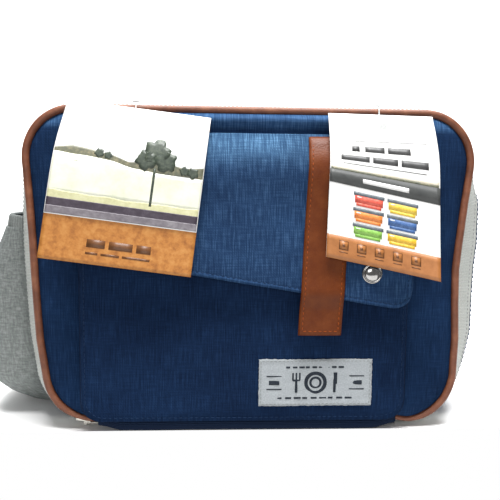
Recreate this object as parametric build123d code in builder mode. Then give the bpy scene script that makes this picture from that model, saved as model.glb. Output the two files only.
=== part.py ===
"""Soft insulated lunch bag that opens at the front.

Millimetres. X runs to the wearer's right as the front is seen, Y runs from the front to the back,
Z runs up. The origin is the middle of the underside of the base.
The bag is a padded shell (root), a front panel that folds down at its bottom edge, a pocket flap,
two hang tags that follow the flap, a zip slider with its pull, and a carry handle at the back.
"""
from build123d import *
from math import atan, cos, degrees, radians, sin, sqrt, tan
import os

os.makedirs("parts", exist_ok=True)

# ------------------------------------------------------------------ driving dimensions
taper = 0.09            # half width gained per mm of height
widest_z = 166.0        # height at which the half widths below are measured

# a rim is (half width at widest_z, lowest z, highest z, corner radius)
body_rim = (147.5, 0.0, 198.0, 34.0)        # outside of the shell
chain_rim = (138.5, 5.5, 195.5, 30.0)       # middle of the zip chain
piping_rim = (135.7, 5.5, 194.3, 29.0)      # middle of the leather piping

fabric = 1.0            # outer canvas
foam = 4.5              # insulation of the shell
liner = 0.8             # foil lining
shell_front = -46.0
shell_back = 70.0
base_half = 98.0        # half length of the flat base, between the corner arcs

chain_y = -60.0         # plane in which the two halves of the zip meet
chain_gap = 0.6         # half of the space between the two coils, where the slider's web runs
coil = 2.4              # width and height of one coil
tape = 0.8              # zip tape thickness
zip_end_x = 93.0        # the zip stops this far from the middle, on both sides
stop_length = 2.6

piping_y = -67.0
piping_radius = 2.3
piping_end_x = 92.0
panel_face_y = -69.5    # outside of the front panel
panel_foam = 3.5
panel_edge = piping_radius + 0.1

pocket_x = -3.0         # the front pocket sits a little to the left
pocket_half = 98.0
pocket_low = 8.0
pocket_high = 135.0
pocket_front = -81.0
pocket_corner = 12.0
pocket_hem_height = 4.0

flap_axis = (-74.0, 177.6)      # y and z of the flap's fold
flap_roll = 1.9
flap_half_thickness = 1.0
flap_line = [flap_axis, (-83.5, 169.4), (-85.8, 156.0), (-84.8, 139.0), (-84.8, 60.0)]
flap_bends = [12.0, 60.0, 60.0]
flap_corner = 12.0
hem_middle_z = 93.0     # height of the hem at x = 0
hem_slope = -0.165      # the hem runs down to the right

strap_width = 25.4
strap_x = 44.0
strap_low = 63.0
strap_thickness = 1.8

snap_radius = 6.0
snap_above_hem = 18.5
snap_reach = 73.3       # snaps this far each side of the pocket's middle

label_size = (68.4, 28.8)
label_centre = (39.4, 32.8)

tag_axis = (-69.5, 198.5)       # y and z of the tags' hinge, on top of the piping
tag_line = [(-71.6, 196.5), (-88.9, 168.0), (-89.7, 80.0)]
tag_bend = [14.0]
tag_hole = 1.6
card = 0.6
picture_card = 0.4
left_tag = {"top": (-65.5, 193.3), "tilt": -7.0, "width": 83.5, "length": 90.5, "hole": (-68.0, 187.0)}
right_tag = {"top": (77.0, 192.3), "tilt": -2.5, "width": 63.5, "length": 88.0, "hole": (76.0, 185.0)}
picture_length = 65.0

slider_angle = 10.0     # where on the corner arc the slider rests
slider_length = 9.0
slider_width = 7.2
plate_near = 1.7        # slider plates, measured from the middle of the chain
plate_far = 2.9
bridge_out = 4.15       # middle of the pull's bar, measured the same way
bridge_along = 1.5
bar_radius = 0.6
bar_clearance = 0.05
pull_wall = 0.5
pull_length = 14.0
pull_width = 5.0

side_pocket_front = -42.0
side_pocket_back = 44.0
side_wall = 1.2
# height, how far out from the middle, and how much shorter than the full pocket at each end
side_pocket_levels = [(3.0, 148.0, 8.0), (9.0, 158.0, 3.0), (24.0, 168.5, 0.0),
                      (95.0, 167.5, 0.0), (121.0, 157.5, 3.0)]
side_corner = 20.0
elastic_height = 7.0

handle_x = 55.0
handle_axis = (74.4, 188.0)     # y and z of the rings' upper bars
ring_wire = 1.5
ring_size = (24.0, 12.0)        # middle line of the ring's wire
chape_wall = 1.2
chape_width = 16.0
handle_radius = 5.0
handle_y = 78.5
handle_low = 126.0
handle_top = 170.0
grip_half = 32.0
grip_wall = 1.5


# ------------------------------------------------------------------ drawing helpers
def front_view(y):
    """Drawing plane seen from the front, standing at y; extruding goes towards the front."""
    return Plane.XZ.offset(-y)


def rim_corners(rim, inset=0.0):
    """The rim's four sharp corners, moved in by inset: low left, low right, high right, high left."""
    half, low, high, _ = rim
    low = low + inset
    high = high - inset
    slanted = inset * sqrt(1 + taper**2)
    half_low = half - taper * (widest_z - low) - slanted
    half_high = half - taper * (widest_z - high) - slanted
    return [(-half_low, low), (half_low, low), (half_high, high), (-half_high, high)]


def rim_face(rim, inset=0.0):
    """Face inside a rim: its sides and its corner arcs move in together."""
    with BuildSketch() as drawing:
        Polygon(*rim_corners(rim, inset), align=None)
        fillet(drawing.vertices(), radius=rim[3] - inset)
    return drawing.sketch


def box_face(x_low, x_high, z_low, z_high):
    """Plain rectangle between two corners."""
    with BuildSketch() as drawing:
        Polygon((x_low, z_low), (x_high, z_low), (x_high, z_high), (x_low, z_high), align=None)
    return drawing.sketch


def parallel(points, distance):
    """The points of a line parallel to a polyline; a positive distance is towards the front."""
    moved = []
    for index, point in enumerate(points):
        before = Vector(*points[max(index - 1, 0)])
        here = Vector(*point)
        after = Vector(*points[min(index + 1, len(points) - 1)])
        runs = [run.normalized() for run in (here - before, after - here) if run.length > 0]
        normals = [Vector(run.Y, -run.X) for run in runs]
        bisector = (normals[0] + normals[-1]).normalized()
        moved.append(here + bisector * (distance / bisector.dot(normals[0])))
    return moved


def sheet_profile(points, bends, near, far):
    """Side view of a bent sheet: the strip between two lines parallel to a rounded polyline."""
    with BuildSketch() as drawing:
        with BuildLine():
            inner = FilletPolyline(*parallel(points, near), radius=bends)
            outer = FilletPolyline(*parallel(points, far), radius=bends)
            Line(inner @ 0, outer @ 0)
            Line(inner @ 1, outer @ 1)
        make_face()
    return drawing.sketch


def tag_face(tag, length):
    """Front view of a hang tag, with its hole."""
    top = Vector(*tag["top"])
    middle = top + Vector(0, -length / 2).rotate(Axis.Z, tag["tilt"])
    with BuildSketch() as drawing:
        with Locations(middle):
            Rectangle(tag["width"], length, rotation=tag["tilt"])
        with Locations(tag["hole"]):
            Circle(tag_hole, mode=Mode.SUBTRACT)
    return drawing.sketch


def pocket_outline(inset, high):
    """Front pocket seen from the front: square at the mouth, rounded at the bottom."""
    half = pocket_half - inset
    with BuildSketch() as drawing:
        add(box_face(pocket_x - half, pocket_x + half, pocket_low + inset, high))
        fillet(drawing.vertices().group_by(Axis.Y)[0], radius=pocket_corner - inset)
    return drawing.sketch


def side_pocket_face(reach, shorter, wall=0.0):
    """Side pocket seen from above, from inside the shell out to reach."""
    front = side_pocket_front + shorter + wall
    back = side_pocket_back - shorter - wall
    with BuildSketch() as drawing:
        add(box_face(-reach + wall, -base_half, front, back))
        fillet(drawing.vertices().group_by(Axis.X)[0], radius=side_corner - wall)
    return drawing.sketch


def hem_z(x):
    """Height of the flap's hem."""
    return hem_middle_z + hem_slope * x


# ------------------------------------------------------------------ padded shell
with BuildPart() as gusset_outer:
    with BuildSketch(front_view(shell_back)):
        add(rim_face(body_rim))
        add(rim_face(body_rim, fabric), mode=Mode.SUBTRACT)
        Rectangle(2 * base_half, 4 * foam, mode=Mode.SUBTRACT)
    extrude(amount=shell_back - shell_front)
gusset_outer.part.label = "gusset_outer"
export_step(gusset_outer.part, "parts/gusset_outer.step")

with BuildPart() as base_outer:
    with BuildSketch(front_view(shell_back)):
        add(box_face(-base_half, base_half, 0, fabric))
    extrude(amount=shell_back - shell_front)
base_outer.part.label = "base_outer"
export_step(base_outer.part, "parts/base_outer.step")

with BuildPart() as back_outer:
    with BuildSketch(front_view(shell_back)):
        add(rim_face(body_rim, fabric))
    extrude(amount=fabric)
back_outer.part.label = "back_outer"
export_step(back_outer.part, "parts/back_outer.step")

foam_back = shell_back - fabric
with BuildPart() as gusset_foam:
    with BuildSketch(front_view(foam_back)):
        add(rim_face(body_rim, fabric))
        add(rim_face(body_rim, fabric + foam), mode=Mode.SUBTRACT)
        Rectangle(2 * base_half, 4 * foam, mode=Mode.SUBTRACT)
    extrude(amount=foam_back - shell_front)
gusset_foam.part.label = "gusset_foam"
export_step(gusset_foam.part, "parts/gusset_foam.step")

with BuildPart() as base_foam:
    with BuildSketch(front_view(foam_back)):
        add(box_face(-base_half, base_half, fabric, fabric + foam))
    extrude(amount=foam_back - shell_front)
base_foam.part.label = "base_foam"
export_step(base_foam.part, "parts/base_foam.step")

liner_back = foam_back - foam
with BuildPart() as back_foam:
    with BuildSketch(front_view(foam_back)):
        add(rim_face(body_rim, fabric + foam))
    extrude(amount=foam)
back_foam.part.label = "back_foam"
export_step(back_foam.part, "parts/back_foam.step")

with BuildPart() as body_liner:
    with BuildSketch(front_view(liner_back)):
        add(rim_face(body_rim, fabric + foam))
    extrude(amount=liner_back - shell_front)
    with BuildSketch(front_view(liner_back - liner)):
        add(rim_face(body_rim, fabric + foam + liner))
    extrude(amount=liner_back - liner - shell_front, mode=Mode.SUBTRACT)
body_liner.part.label = "body_liner"
export_step(body_liner.part, "parts/body_liner.step")

mouth_binding_depth = 1.5
with BuildPart() as mouth_binding:
    with BuildSketch(front_view(shell_front)):
        add(rim_face(body_rim, 2.2 * fabric))
        add(rim_face(body_rim, fabric + foam + liner), mode=Mode.SUBTRACT)
    extrude(amount=mouth_binding_depth)
mouth_binding.part.label = "mouth_binding"
export_step(mouth_binding.part, "parts/mouth_binding.step")

# ------------------------------------------------------------------ zip, shell side
shell_coil_front = chain_y + chain_gap
shell_coil_back = shell_coil_front + coil
corner_height = 30.0    # the zip is left out below this height between its two ends

with BuildPart() as shell_zip_tape:
    for mode, outside, inside in ((Mode.ADD, 0.0, -tape / 2), (Mode.SUBTRACT, tape, tape / 2)):
        with BuildSketch(front_view(shell_front)):
            add(rim_face(body_rim, outside))
        with BuildSketch(front_view(shell_coil_back)):
            add(rim_face(chain_rim, inside))
        loft(ruled=True, mode=mode)
    with BuildSketch(front_view(shell_front)):
        add(box_face(-zip_end_x, zip_end_x, 0, corner_height))
    extrude(amount=shell_front - chain_y, mode=Mode.SUBTRACT)
shell_zip_tape.part.label = "shell_zip_tape"
export_step(shell_zip_tape.part, "parts/shell_zip_tape.step")

with BuildPart() as shell_zip_coil:
    with BuildSketch(front_view(shell_coil_back)):
        add(rim_face(chain_rim, -coil / 2))
        add(rim_face(chain_rim, coil / 2), mode=Mode.SUBTRACT)
        add(box_face(-zip_end_x, zip_end_x, 0, corner_height), mode=Mode.SUBTRACT)
    extrude(amount=coil)
shell_zip_coil.part.label = "shell_zip_coil"
export_step(shell_zip_coil.part, "parts/shell_zip_coil.step")

chain_low = chain_rim[1]
for side, name in ((-1, "zip_stop_start"), (1, "zip_stop_end")):
    with BuildPart() as zip_stop:
        with Locations((side * (zip_end_x - stop_length / 2), shell_coil_front + coil / 2, chain_low)):
            Box(stop_length, coil, 1.25 * coil)
        fillet(zip_stop.edges().filter_by(Axis.X), radius=0.6)
    zip_stop.part.label = name
    export_step(zip_stop.part, f"parts/{name}.step")

hinge_strip_half = 82.0
hinge_strip_front = -69.0
with BuildPart() as hinge_strip:
    with BuildSketch(front_view(shell_front)):
        add(box_face(-hinge_strip_half, hinge_strip_half, 0.3, 1.3))
    extrude(amount=shell_front - hinge_strip_front)
hinge_strip.part.label = "hinge_strip"
export_step(hinge_strip.part, "parts/hinge_strip.step")

# ------------------------------------------------------------------ side pocket for a bottle
pocket_mouth_z = side_pocket_levels[-1][0]
with BuildPart() as side_pocket:
    for height, reach, shorter in side_pocket_levels:
        with BuildSketch(Plane.XY.offset(height)):
            add(side_pocket_face(reach, shorter))
    loft(ruled=True)
    for height, reach, shorter in side_pocket_levels:
        lifted = max(height, side_pocket_levels[0][0] + side_wall)
        with BuildSketch(Plane.XY.offset(lifted)):
            add(side_pocket_face(reach, shorter, side_wall))
    loft(ruled=True, mode=Mode.SUBTRACT)
    with BuildSketch(front_view(shell_back)):
        add(rim_face(body_rim))
    extrude(amount=shell_back - shell_front, mode=Mode.SUBTRACT)
side_pocket.part.label = "side_pocket"
export_step(side_pocket.part, "parts/side_pocket.step")

with BuildPart() as side_pocket_elastic:
    _, mouth_reach, mouth_shorter = side_pocket_levels[-1]
    with BuildSketch(Plane.XY.offset(pocket_mouth_z)):
        add(side_pocket_face(mouth_reach + 0.6, mouth_shorter - 0.6))
        add(side_pocket_face(mouth_reach + 0.6, mouth_shorter - 0.6, 1.6 * side_wall),
            mode=Mode.SUBTRACT)
    extrude(amount=elastic_height)
    with BuildSketch(front_view(shell_back)):
        add(rim_face(body_rim))
    extrude(amount=shell_back - shell_front, mode=Mode.SUBTRACT)
side_pocket_elastic.part.label = "side_pocket_elastic"
export_step(side_pocket_elastic.part, "parts/side_pocket_elastic.step")

# ------------------------------------------------------------------ front panel
with BuildPart() as panel_outer:
    with BuildSketch(front_view(panel_face_y + fabric)):
        add(rim_face(piping_rim, panel_edge))
    extrude(amount=fabric)
panel_outer.part.label = "panel_outer"
export_step(panel_outer.part, "parts/panel_outer.step")

panel_foam_back = panel_face_y + fabric + panel_foam
with BuildPart() as panel_insulation:
    with BuildSketch(front_view(panel_foam_back)):
        add(rim_face(piping_rim, panel_edge))
    extrude(amount=panel_foam)
panel_insulation.part.label = "panel_foam"
export_step(panel_insulation.part, "parts/panel_foam.step")

panel_liner_back = panel_foam_back + liner
with BuildPart() as panel_liner:
    with BuildSketch(front_view(panel_liner_back)):
        add(rim_face(piping_rim, panel_edge))
    extrude(amount=liner)
panel_liner.part.label = "panel_liner"
export_step(panel_liner.part, "parts/panel_liner.step")

panel_binding_edge = panel_edge + 2.5       # leaves room for the slider's inner plate
panel_binding_width = 5.0
panel_binding_depth = 1.2
with BuildPart() as panel_binding:
    with BuildSketch(front_view(panel_liner_back + panel_binding_depth)):
        add(rim_face(piping_rim, panel_binding_edge))
        add(rim_face(piping_rim, panel_binding_edge + panel_binding_width), mode=Mode.SUBTRACT)
    extrude(amount=panel_binding_depth)
panel_binding.part.label = "panel_binding"
export_step(panel_binding.part, "parts/panel_binding.step")

low_left, low_right, high_right, high_left = rim_corners(piping_rim)
with BuildPart() as panel_piping:
    with BuildLine(front_view(piping_y)) as piping_path:
        FilletPolyline((-piping_end_x, piping_rim[1]), low_left, high_left, high_right, low_right,
                       (piping_end_x, piping_rim[1]), radius=piping_rim[3])
    with BuildSketch(Plane(origin=piping_path.line @ 0, z_dir=piping_path.line % 0)):
        Circle(piping_radius)
    sweep()
panel_piping.part.label = "panel_piping"
export_step(panel_piping.part, "parts/panel_piping.step")

hinge_band_half = 91.0
hinge_band_low = 2.5
hinge_band_high = piping_rim[1] + panel_edge
with BuildPart() as hinge_band:
    with BuildSketch(front_view(panel_liner_back)):
        add(box_face(-hinge_band_half, hinge_band_half, hinge_band_low, hinge_band_high))
    extrude(amount=panel_liner_back - panel_face_y)
hinge_band.part.label = "hinge_band"
export_step(hinge_band.part, "parts/hinge_band.step")

# the panel's half of the zip starts past the slider's resting place
panel_coil_front = chain_y - chain_gap - coil
panel_coil_start_x = -109.0
with BuildPart() as panel_zip_coil:
    with BuildSketch(front_view(panel_coil_front + coil)):
        add(rim_face(chain_rim, -coil / 2))
        add(rim_face(chain_rim, coil / 2), mode=Mode.SUBTRACT)
        add(box_face(panel_coil_start_x, zip_end_x, 0, corner_height), mode=Mode.SUBTRACT)
    extrude(amount=coil)
panel_zip_coil.part.label = "panel_zip_coil"
export_step(panel_zip_coil.part, "parts/panel_zip_coil.step")

panel_tape_front = piping_y + piping_radius
with BuildPart() as panel_zip_tape:
    for mode, edge in ((Mode.ADD, -tape / 2), (Mode.SUBTRACT, tape / 2)):
        with BuildSketch(front_view(panel_coil_front)):
            add(rim_face(chain_rim, edge))
        with BuildSketch(front_view(panel_tape_front)):
            add(rim_face(piping_rim, edge))
        loft(ruled=True, mode=mode)
    with BuildSketch(front_view(chain_y)):
        add(box_face(panel_coil_start_x, zip_end_x, 0, corner_height))
    extrude(amount=chain_y - piping_y, mode=Mode.SUBTRACT)
panel_zip_tape.part.label = "panel_zip_tape"
export_step(panel_zip_tape.part, "parts/panel_zip_tape.step")

# ------------------------------------------------------------------ front pocket
snap_xs = {"left": pocket_x - snap_reach, "right": pocket_x + snap_reach}
post_radius = 1.2
stud_radius = 1.9
stud_flange = 0.8
stud_length = 2.4

with BuildPart() as pocket_face:
    with BuildSketch(front_view(pocket_front + fabric)):
        add(pocket_outline(0, pocket_high))
        for snap_x in snap_xs.values():
            with Locations((snap_x, hem_z(snap_x) + snap_above_hem)):
                Circle(post_radius + bar_clearance, mode=Mode.SUBTRACT)
    extrude(amount=fabric)
pocket_face.part.label = "pocket_face"
export_step(pocket_face.part, "parts/pocket_face.step")

with BuildPart() as pocket_gusset:
    with BuildSketch(front_view(panel_face_y)):
        add(pocket_outline(0, pocket_high))
        add(pocket_outline(fabric, pocket_high + fabric), mode=Mode.SUBTRACT)
    extrude(amount=panel_face_y - pocket_front - fabric)
pocket_gusset.part.label = "pocket_gusset"
export_step(pocket_gusset.part, "parts/pocket_gusset.step")

with BuildPart() as pocket_hem:
    with BuildSketch(front_view(pocket_front + 1.3 * fabric)):
        add(box_face(pocket_x - pocket_half, pocket_x + pocket_half,
                     pocket_high, pocket_high + pocket_hem_height))
    extrude(amount=1.6 * fabric)
    fillet(pocket_hem.edges().filter_by(Axis.X), radius=0.6)
pocket_hem.part.label = "pocket_hem"
export_step(pocket_hem.part, "parts/pocket_hem.step")

with BuildPart() as woven_label:
    with BuildSketch(front_view(pocket_front)):
        with Locations(label_centre):
            Rectangle(*label_size)
    extrude(amount=0.6)
woven_label.part.label = "woven_label"
export_step(woven_label.part, "parts/woven_label.step")

# ------------------------------------------------------------------ flap, strap and snaps
flap_left = pocket_x - pocket_half
flap_right = pocket_x + pocket_half
flap_inner_y = flap_line[-1][0] + flap_half_thickness
flap_outer_y = flap_line[-1][0] - flap_half_thickness

with BuildPart() as flap:
    with BuildSketch(Plane.YZ.offset(flap_left)):
        add(sheet_profile(flap_line, flap_bends, -flap_half_thickness, flap_half_thickness))
        with Locations(flap_axis):
            Circle(flap_roll)
    extrude(amount=flap_right - flap_left)
    with BuildSketch(front_view(0)) as flap_cut:
        with BuildLine():
            Polyline((flap_left, hem_z(flap_left)), (flap_right, hem_z(flap_right)),
                     (flap_right, body_rim[2]), (flap_left, body_rim[2]), close=True)
        make_face()
        fillet(flap_cut.vertices().sort_by(Axis.Z)[:2], radius=flap_corner)
        for snap_x in snap_xs.values():
            with Locations((snap_x, hem_z(snap_x) + snap_above_hem)):
                Circle(post_radius + bar_clearance, mode=Mode.SUBTRACT)
    extrude(amount=-2 * tag_line[-1][0], mode=Mode.INTERSECT)
flap.part.label = "flap"
export_step(flap.part, "parts/flap.step")

strap_near = flap_half_thickness + 0.05
strap_line = [flap_line[0], *flap_line[1:-1], (flap_line[-1][0], strap_low)]
with BuildPart() as flap_strap:
    with BuildSketch(Plane.YZ.offset(strap_x - strap_width / 2)):
        add(sheet_profile(strap_line, flap_bends, strap_near, strap_near + strap_thickness))
        with Locations(flap_axis):
            Circle(flap_roll + 1.2, mode=Mode.SUBTRACT)
    extrude(amount=strap_width)
flap_strap.part.label = "flap_strap"
export_step(flap_strap.part, "parts/flap_strap.step")

cap_height = 2.4
socket_depth = 1.7
for side, snap_x in snap_xs.items():
    snap_z = hem_z(snap_x) + snap_above_hem
    with BuildPart() as snap_cap:
        with BuildSketch(front_view(flap_outer_y)):
            with Locations((snap_x, snap_z)):
                Circle(snap_radius)
        extrude(amount=cap_height)
        fillet(snap_cap.faces().sort_by(Axis.Y)[0].edges(), radius=0.8 * cap_height)
        with BuildSketch(front_view(flap_inner_y)):
            with Locations((snap_x, snap_z)):
                Circle(post_radius)
        extrude(amount=flap_inner_y - flap_outer_y)
    snap_cap.part.label = f"snap_cap_{side}"
    export_step(snap_cap.part, f"parts/snap_cap_{side}.step")

    with BuildPart() as snap_socket:
        with BuildSketch(front_view(flap_inner_y + socket_depth)):
            with Locations((snap_x, snap_z)):
                Circle(0.9 * snap_radius)
                Circle(stud_radius + 0.4, mode=Mode.SUBTRACT)
        extrude(amount=socket_depth)
    snap_socket.part.label = f"snap_socket_{side}"
    export_step(snap_socket.part, f"parts/snap_socket_{side}.step")

    with BuildPart() as snap_stud:
        with BuildSketch(front_view(pocket_front)):
            with Locations((snap_x, snap_z)):
                Circle(0.9 * snap_radius)
        extrude(amount=stud_flange)
        with BuildSketch(front_view(pocket_front)):
            with Locations((snap_x, snap_z)):
                Circle(stud_radius)
        extrude(amount=stud_length)
        with BuildSketch(front_view(pocket_front + fabric)):
            with Locations((snap_x, snap_z)):
                Circle(post_radius)
        extrude(amount=fabric)
    snap_stud.part.label = f"snap_stud_{side}"
    export_step(snap_stud.part, f"parts/snap_stud_{side}.step")

    with BuildPart() as snap_backing:
        with BuildSketch(front_view(pocket_front + fabric + stud_flange)):
            with Locations((snap_x, snap_z)):
                Circle(0.8 * snap_radius)
        extrude(amount=stud_flange)
    snap_backing.part.label = f"snap_backing_{side}"
    export_step(snap_backing.part, f"parts/snap_backing_{side}.step")

# ------------------------------------------------------------------ hang tags
# name, tag, length seen from the front, and where the sheet lies in front of the tag's line
cards = [("hang_tag_backing_card", left_tag, left_tag["length"], -card / 2, card / 2),
         ("hang_tag_picture_card", left_tag, picture_length, card / 2 + 0.05,
          card / 2 + 0.05 + picture_card),
         ("hang_tag_info_card", right_tag, right_tag["length"], -card / 2, card / 2)]
for name, tag, length, near, far in cards:
    with BuildPart() as tag_card:
        with BuildSketch(Plane.YZ.offset(tag["top"][0] - tag["width"])):
            add(sheet_profile(tag_line, tag_bend, near, far))
        extrude(amount=2 * tag["width"])
        with BuildSketch(front_view(0)):
            add(tag_face(tag, length))
        extrude(amount=-2 * tag_line[-1][0], mode=Mode.INTERSECT)
    tag_card.part.label = name
    export_step(tag_card.part, f"parts/{name}.step")

filament_radius = 0.4
barrel_radius = 0.7
barrel_length = 4.0
head_radius = 2.2
head_depth = 1.0
for side, tag in (("left", left_tag), ("right", right_tag)):
    hole_x, hole_z = tag["hole"]
    slope = (tag_line[1][0] - tag_line[0][0]) / (tag_line[1][1] - tag_line[0][1])
    card_y = tag_line[0][0] + slope * (hole_z - tag_line[0][1])
    head_y = card_y - 2.8 * head_depth
    with BuildPart() as tag_fastener:
        with BuildLine(Plane.YZ.offset(hole_x)) as filament:
            FilletPolyline((head_y, hole_z), (card_y + 2.6, hole_z), (tag_axis[0] - 1.6, tag_axis[1] - 5.5),
                           tag_axis, radius=1.2)
        with BuildSketch(Plane(origin=filament.line @ 0, z_dir=filament.line % 0)):
            Circle(filament_radius)
        sweep()
        with BuildSketch(Plane.YZ.offset(hole_x - barrel_length / 2)):
            with Locations(tag_axis):
                Circle(barrel_radius)
        extrude(amount=barrel_length)
        with BuildSketch(front_view(head_y + head_depth / 2)):
            with Locations((hole_x, hole_z)):
                Circle(head_radius)
        extrude(amount=head_depth)
    tag_fastener.part.label = f"tag_fastener_{side}"
    export_step(tag_fastener.part, f"parts/tag_fastener_{side}.step")

# ------------------------------------------------------------------ zip slider and pull
chain_radius = chain_rim[3]
half_corner = radians(90 + degrees(atan(taper))) / 2
arc_x = rim_corners(chain_rim)[0][0] + chain_radius / tan(half_corner)
arc_z = chain_low + chain_radius
slider_turn = radians(slider_angle)


def slider_view(y):
    """Front view turned to the chain's direction, with its origin in the middle of the slider."""
    middle = (arc_x - chain_radius * sin(slider_turn), y, arc_z - chain_radius * cos(slider_turn))
    return Plane(origin=middle, x_dir=(cos(slider_turn), 0, -sin(slider_turn)), z_dir=(0, -1, 0))


slider_back = chain_y + slider_width / 2
web = 0.5
cheek = 0.8
cheek_gap = 0.15
cheek_reach = bridge_out + bar_radius + 0.2
plate_middle = (plate_near + plate_far) / 2
with BuildPart() as zip_slider:
    with BuildSketch(slider_view(slider_back)):
        add(box_face(-slider_length / 2, slider_length / 2, plate_near, plate_far))
        add(box_face(-slider_length / 2, slider_length / 2, -plate_far, -plate_near))
    extrude(amount=slider_width)
    with BuildSketch(slider_view(chain_y + web / 2)):
        add(box_face(-slider_length / 5, slider_length / 5, -plate_middle, plate_middle))
    extrude(amount=web)
    for back in (chain_y + pull_width / 2 + cheek_gap + cheek, chain_y - pull_width / 2 - cheek_gap):
        with BuildSketch(slider_view(back)):
            add(box_face(bridge_along - 1, bridge_along + 1, -cheek_reach, -plate_middle))
        extrude(amount=cheek)
    with BuildSketch(slider_view(chain_y + pull_width / 2 + cheek_gap + cheek / 2)):
        with Locations((bridge_along, -bridge_out)):
            Circle(bar_radius)
    extrude(amount=pull_width + 2 * cheek_gap + cheek)
zip_slider.part.label = "zip_slider"
export_step(zip_slider.part, "parts/zip_slider.step")

bar_centre = slider_view(chain_y).from_local_coords(Vector(bridge_along, -bridge_out, 0))
bore = bar_radius + bar_clearance
pull_thickness = 0.9
with BuildPart() as zip_pull:
    with BuildSketch(front_view(chain_y + pull_width / 2)):
        with Locations((bar_centre.X, bar_centre.Z)):
            Circle(bore + pull_wall)
        add(box_face(bar_centre.X, bar_centre.X + pull_length,
                     bar_centre.Z - pull_thickness / 2, bar_centre.Z + pull_thickness / 2))
        with Locations((bar_centre.X, bar_centre.Z)):
            Circle(bore, mode=Mode.SUBTRACT)
    extrude(amount=pull_width)
    pull_tip = zip_pull.faces().sort_by(Axis.X)[-1]
    fillet(pull_tip.edges().filter_by(Axis.Z), radius=1.5)
zip_pull.part.label = "zip_pull"
export_step(zip_pull.part, "parts/zip_pull.step")

# ------------------------------------------------------------------ carry handle, hanging at the back
chape_bore = ring_wire + 0.06
chape_outer = chape_bore + chape_wall
chape_low = 166.0
axis_y, axis_z = handle_axis
ring_low_z = axis_z - ring_size[1]
for side, name in ((-1, "left"), (1, "right")):
    chape_x = side * handle_x
    with BuildPart() as handle_chape:
        with BuildSketch(Plane.YZ.offset(chape_x - chape_width / 2)):
            with Locations(handle_axis):
                Circle(chape_outer)
            add(box_face(shell_back, shell_back + chape_wall, chape_low, axis_z + chape_outer))
            add(box_face(shell_back, axis_y, axis_z + chape_bore, axis_z + chape_outer))
            with Locations(handle_axis):
                Circle(chape_bore, mode=Mode.SUBTRACT)
        extrude(amount=chape_width)
    handle_chape.part.label = f"handle_chape_{name}"
    export_step(handle_chape.part, f"parts/handle_chape_{name}.step")

    ring_left = chape_x - ring_size[0] / 2
    ring_right = chape_x + ring_size[0] / 2
    with BuildPart() as handle_ring:
        with BuildLine(front_view(axis_y)) as ring_path:
            FilletPolyline((ring_left, ring_low_z), (ring_right, ring_low_z), (ring_right, axis_z),
                           (ring_left, axis_z), radius=2 * ring_wire, close=True)
        with BuildSketch(Plane(origin=ring_path.line @ 0, z_dir=ring_path.line % 0)):
            Circle(ring_wire)
        sweep()
    handle_ring.part.label = f"handle_ring_{name}"
    export_step(handle_ring.part, f"parts/handle_ring_{name}.step")

handle_bend = 22.0
tab_low = handle_top - 5.0
with BuildPart() as handle_roll:
    with BuildLine(front_view(handle_y)) as roll_path:
        FilletPolyline((-handle_x, handle_top), (-handle_x, handle_low), (handle_x, handle_low),
                       (handle_x, handle_top), radius=handle_bend)
    with BuildSketch(Plane(origin=roll_path.line @ 0, z_dir=roll_path.line % 0)):
        Circle(handle_radius)
    sweep()
    for side in (-1, 1):
        with BuildSketch(Plane.YZ.offset(side * handle_x - chape_width / 2)):
            with Locations((axis_y, ring_low_z)):
                Circle(chape_outer)
            add(box_face(axis_y - chape_bore, axis_y + chape_bore, tab_low, ring_low_z))
            with Locations((axis_y, ring_low_z)):
                Circle(chape_bore, mode=Mode.SUBTRACT)
        extrude(amount=chape_width)
handle_roll.part.label = "handle_roll"
export_step(handle_roll.part, "parts/handle_roll.step")

with BuildPart() as handle_grip:
    with BuildSketch(Plane.YZ.offset(-grip_half)):
        with Locations((handle_y, handle_low)):
            Circle(handle_radius + grip_wall)
            Circle(handle_radius, mode=Mode.SUBTRACT)
    extrude(amount=2 * grip_half)
handle_grip.part.label = "handle_grip"
export_step(handle_grip.part, "parts/handle_grip.step")
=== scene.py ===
"""Looks of the soft insulated lunch bag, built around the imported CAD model.

Helpers work in millimetres, in the frame of the CAD model: X right, Y back, Z up, front towards -Y.
Every mesh is turned into metres where it is made. A rim is the rounded trapezoid that the bag, its
zip chain and its piping follow.
"""
import math

import bmesh
import bpy
import numpy as np
from mathutils import Matrix, Vector


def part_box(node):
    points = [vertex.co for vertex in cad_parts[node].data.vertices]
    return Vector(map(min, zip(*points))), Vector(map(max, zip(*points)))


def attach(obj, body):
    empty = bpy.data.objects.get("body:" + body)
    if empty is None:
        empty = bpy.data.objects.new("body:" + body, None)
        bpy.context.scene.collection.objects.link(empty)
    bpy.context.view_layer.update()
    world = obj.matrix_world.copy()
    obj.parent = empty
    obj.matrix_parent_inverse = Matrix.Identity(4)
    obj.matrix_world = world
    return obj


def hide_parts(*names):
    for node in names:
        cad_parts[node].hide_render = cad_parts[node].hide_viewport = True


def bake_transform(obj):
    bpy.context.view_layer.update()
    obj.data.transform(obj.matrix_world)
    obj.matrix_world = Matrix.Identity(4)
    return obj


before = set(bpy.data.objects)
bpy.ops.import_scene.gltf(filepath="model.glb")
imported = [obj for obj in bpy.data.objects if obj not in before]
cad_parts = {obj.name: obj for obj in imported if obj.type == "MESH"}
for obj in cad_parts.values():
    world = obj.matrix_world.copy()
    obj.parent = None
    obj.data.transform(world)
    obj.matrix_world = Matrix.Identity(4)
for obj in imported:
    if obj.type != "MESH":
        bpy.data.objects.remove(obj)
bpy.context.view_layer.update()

MM = 0.001


# ---------------------------------------------------------------- sizes read from the frame
def span(node):
    """Lowest and highest corner of a CAD node, in millimetres."""
    low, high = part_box(node)
    return np.array(low) / MM, np.array(high) / MM


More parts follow.
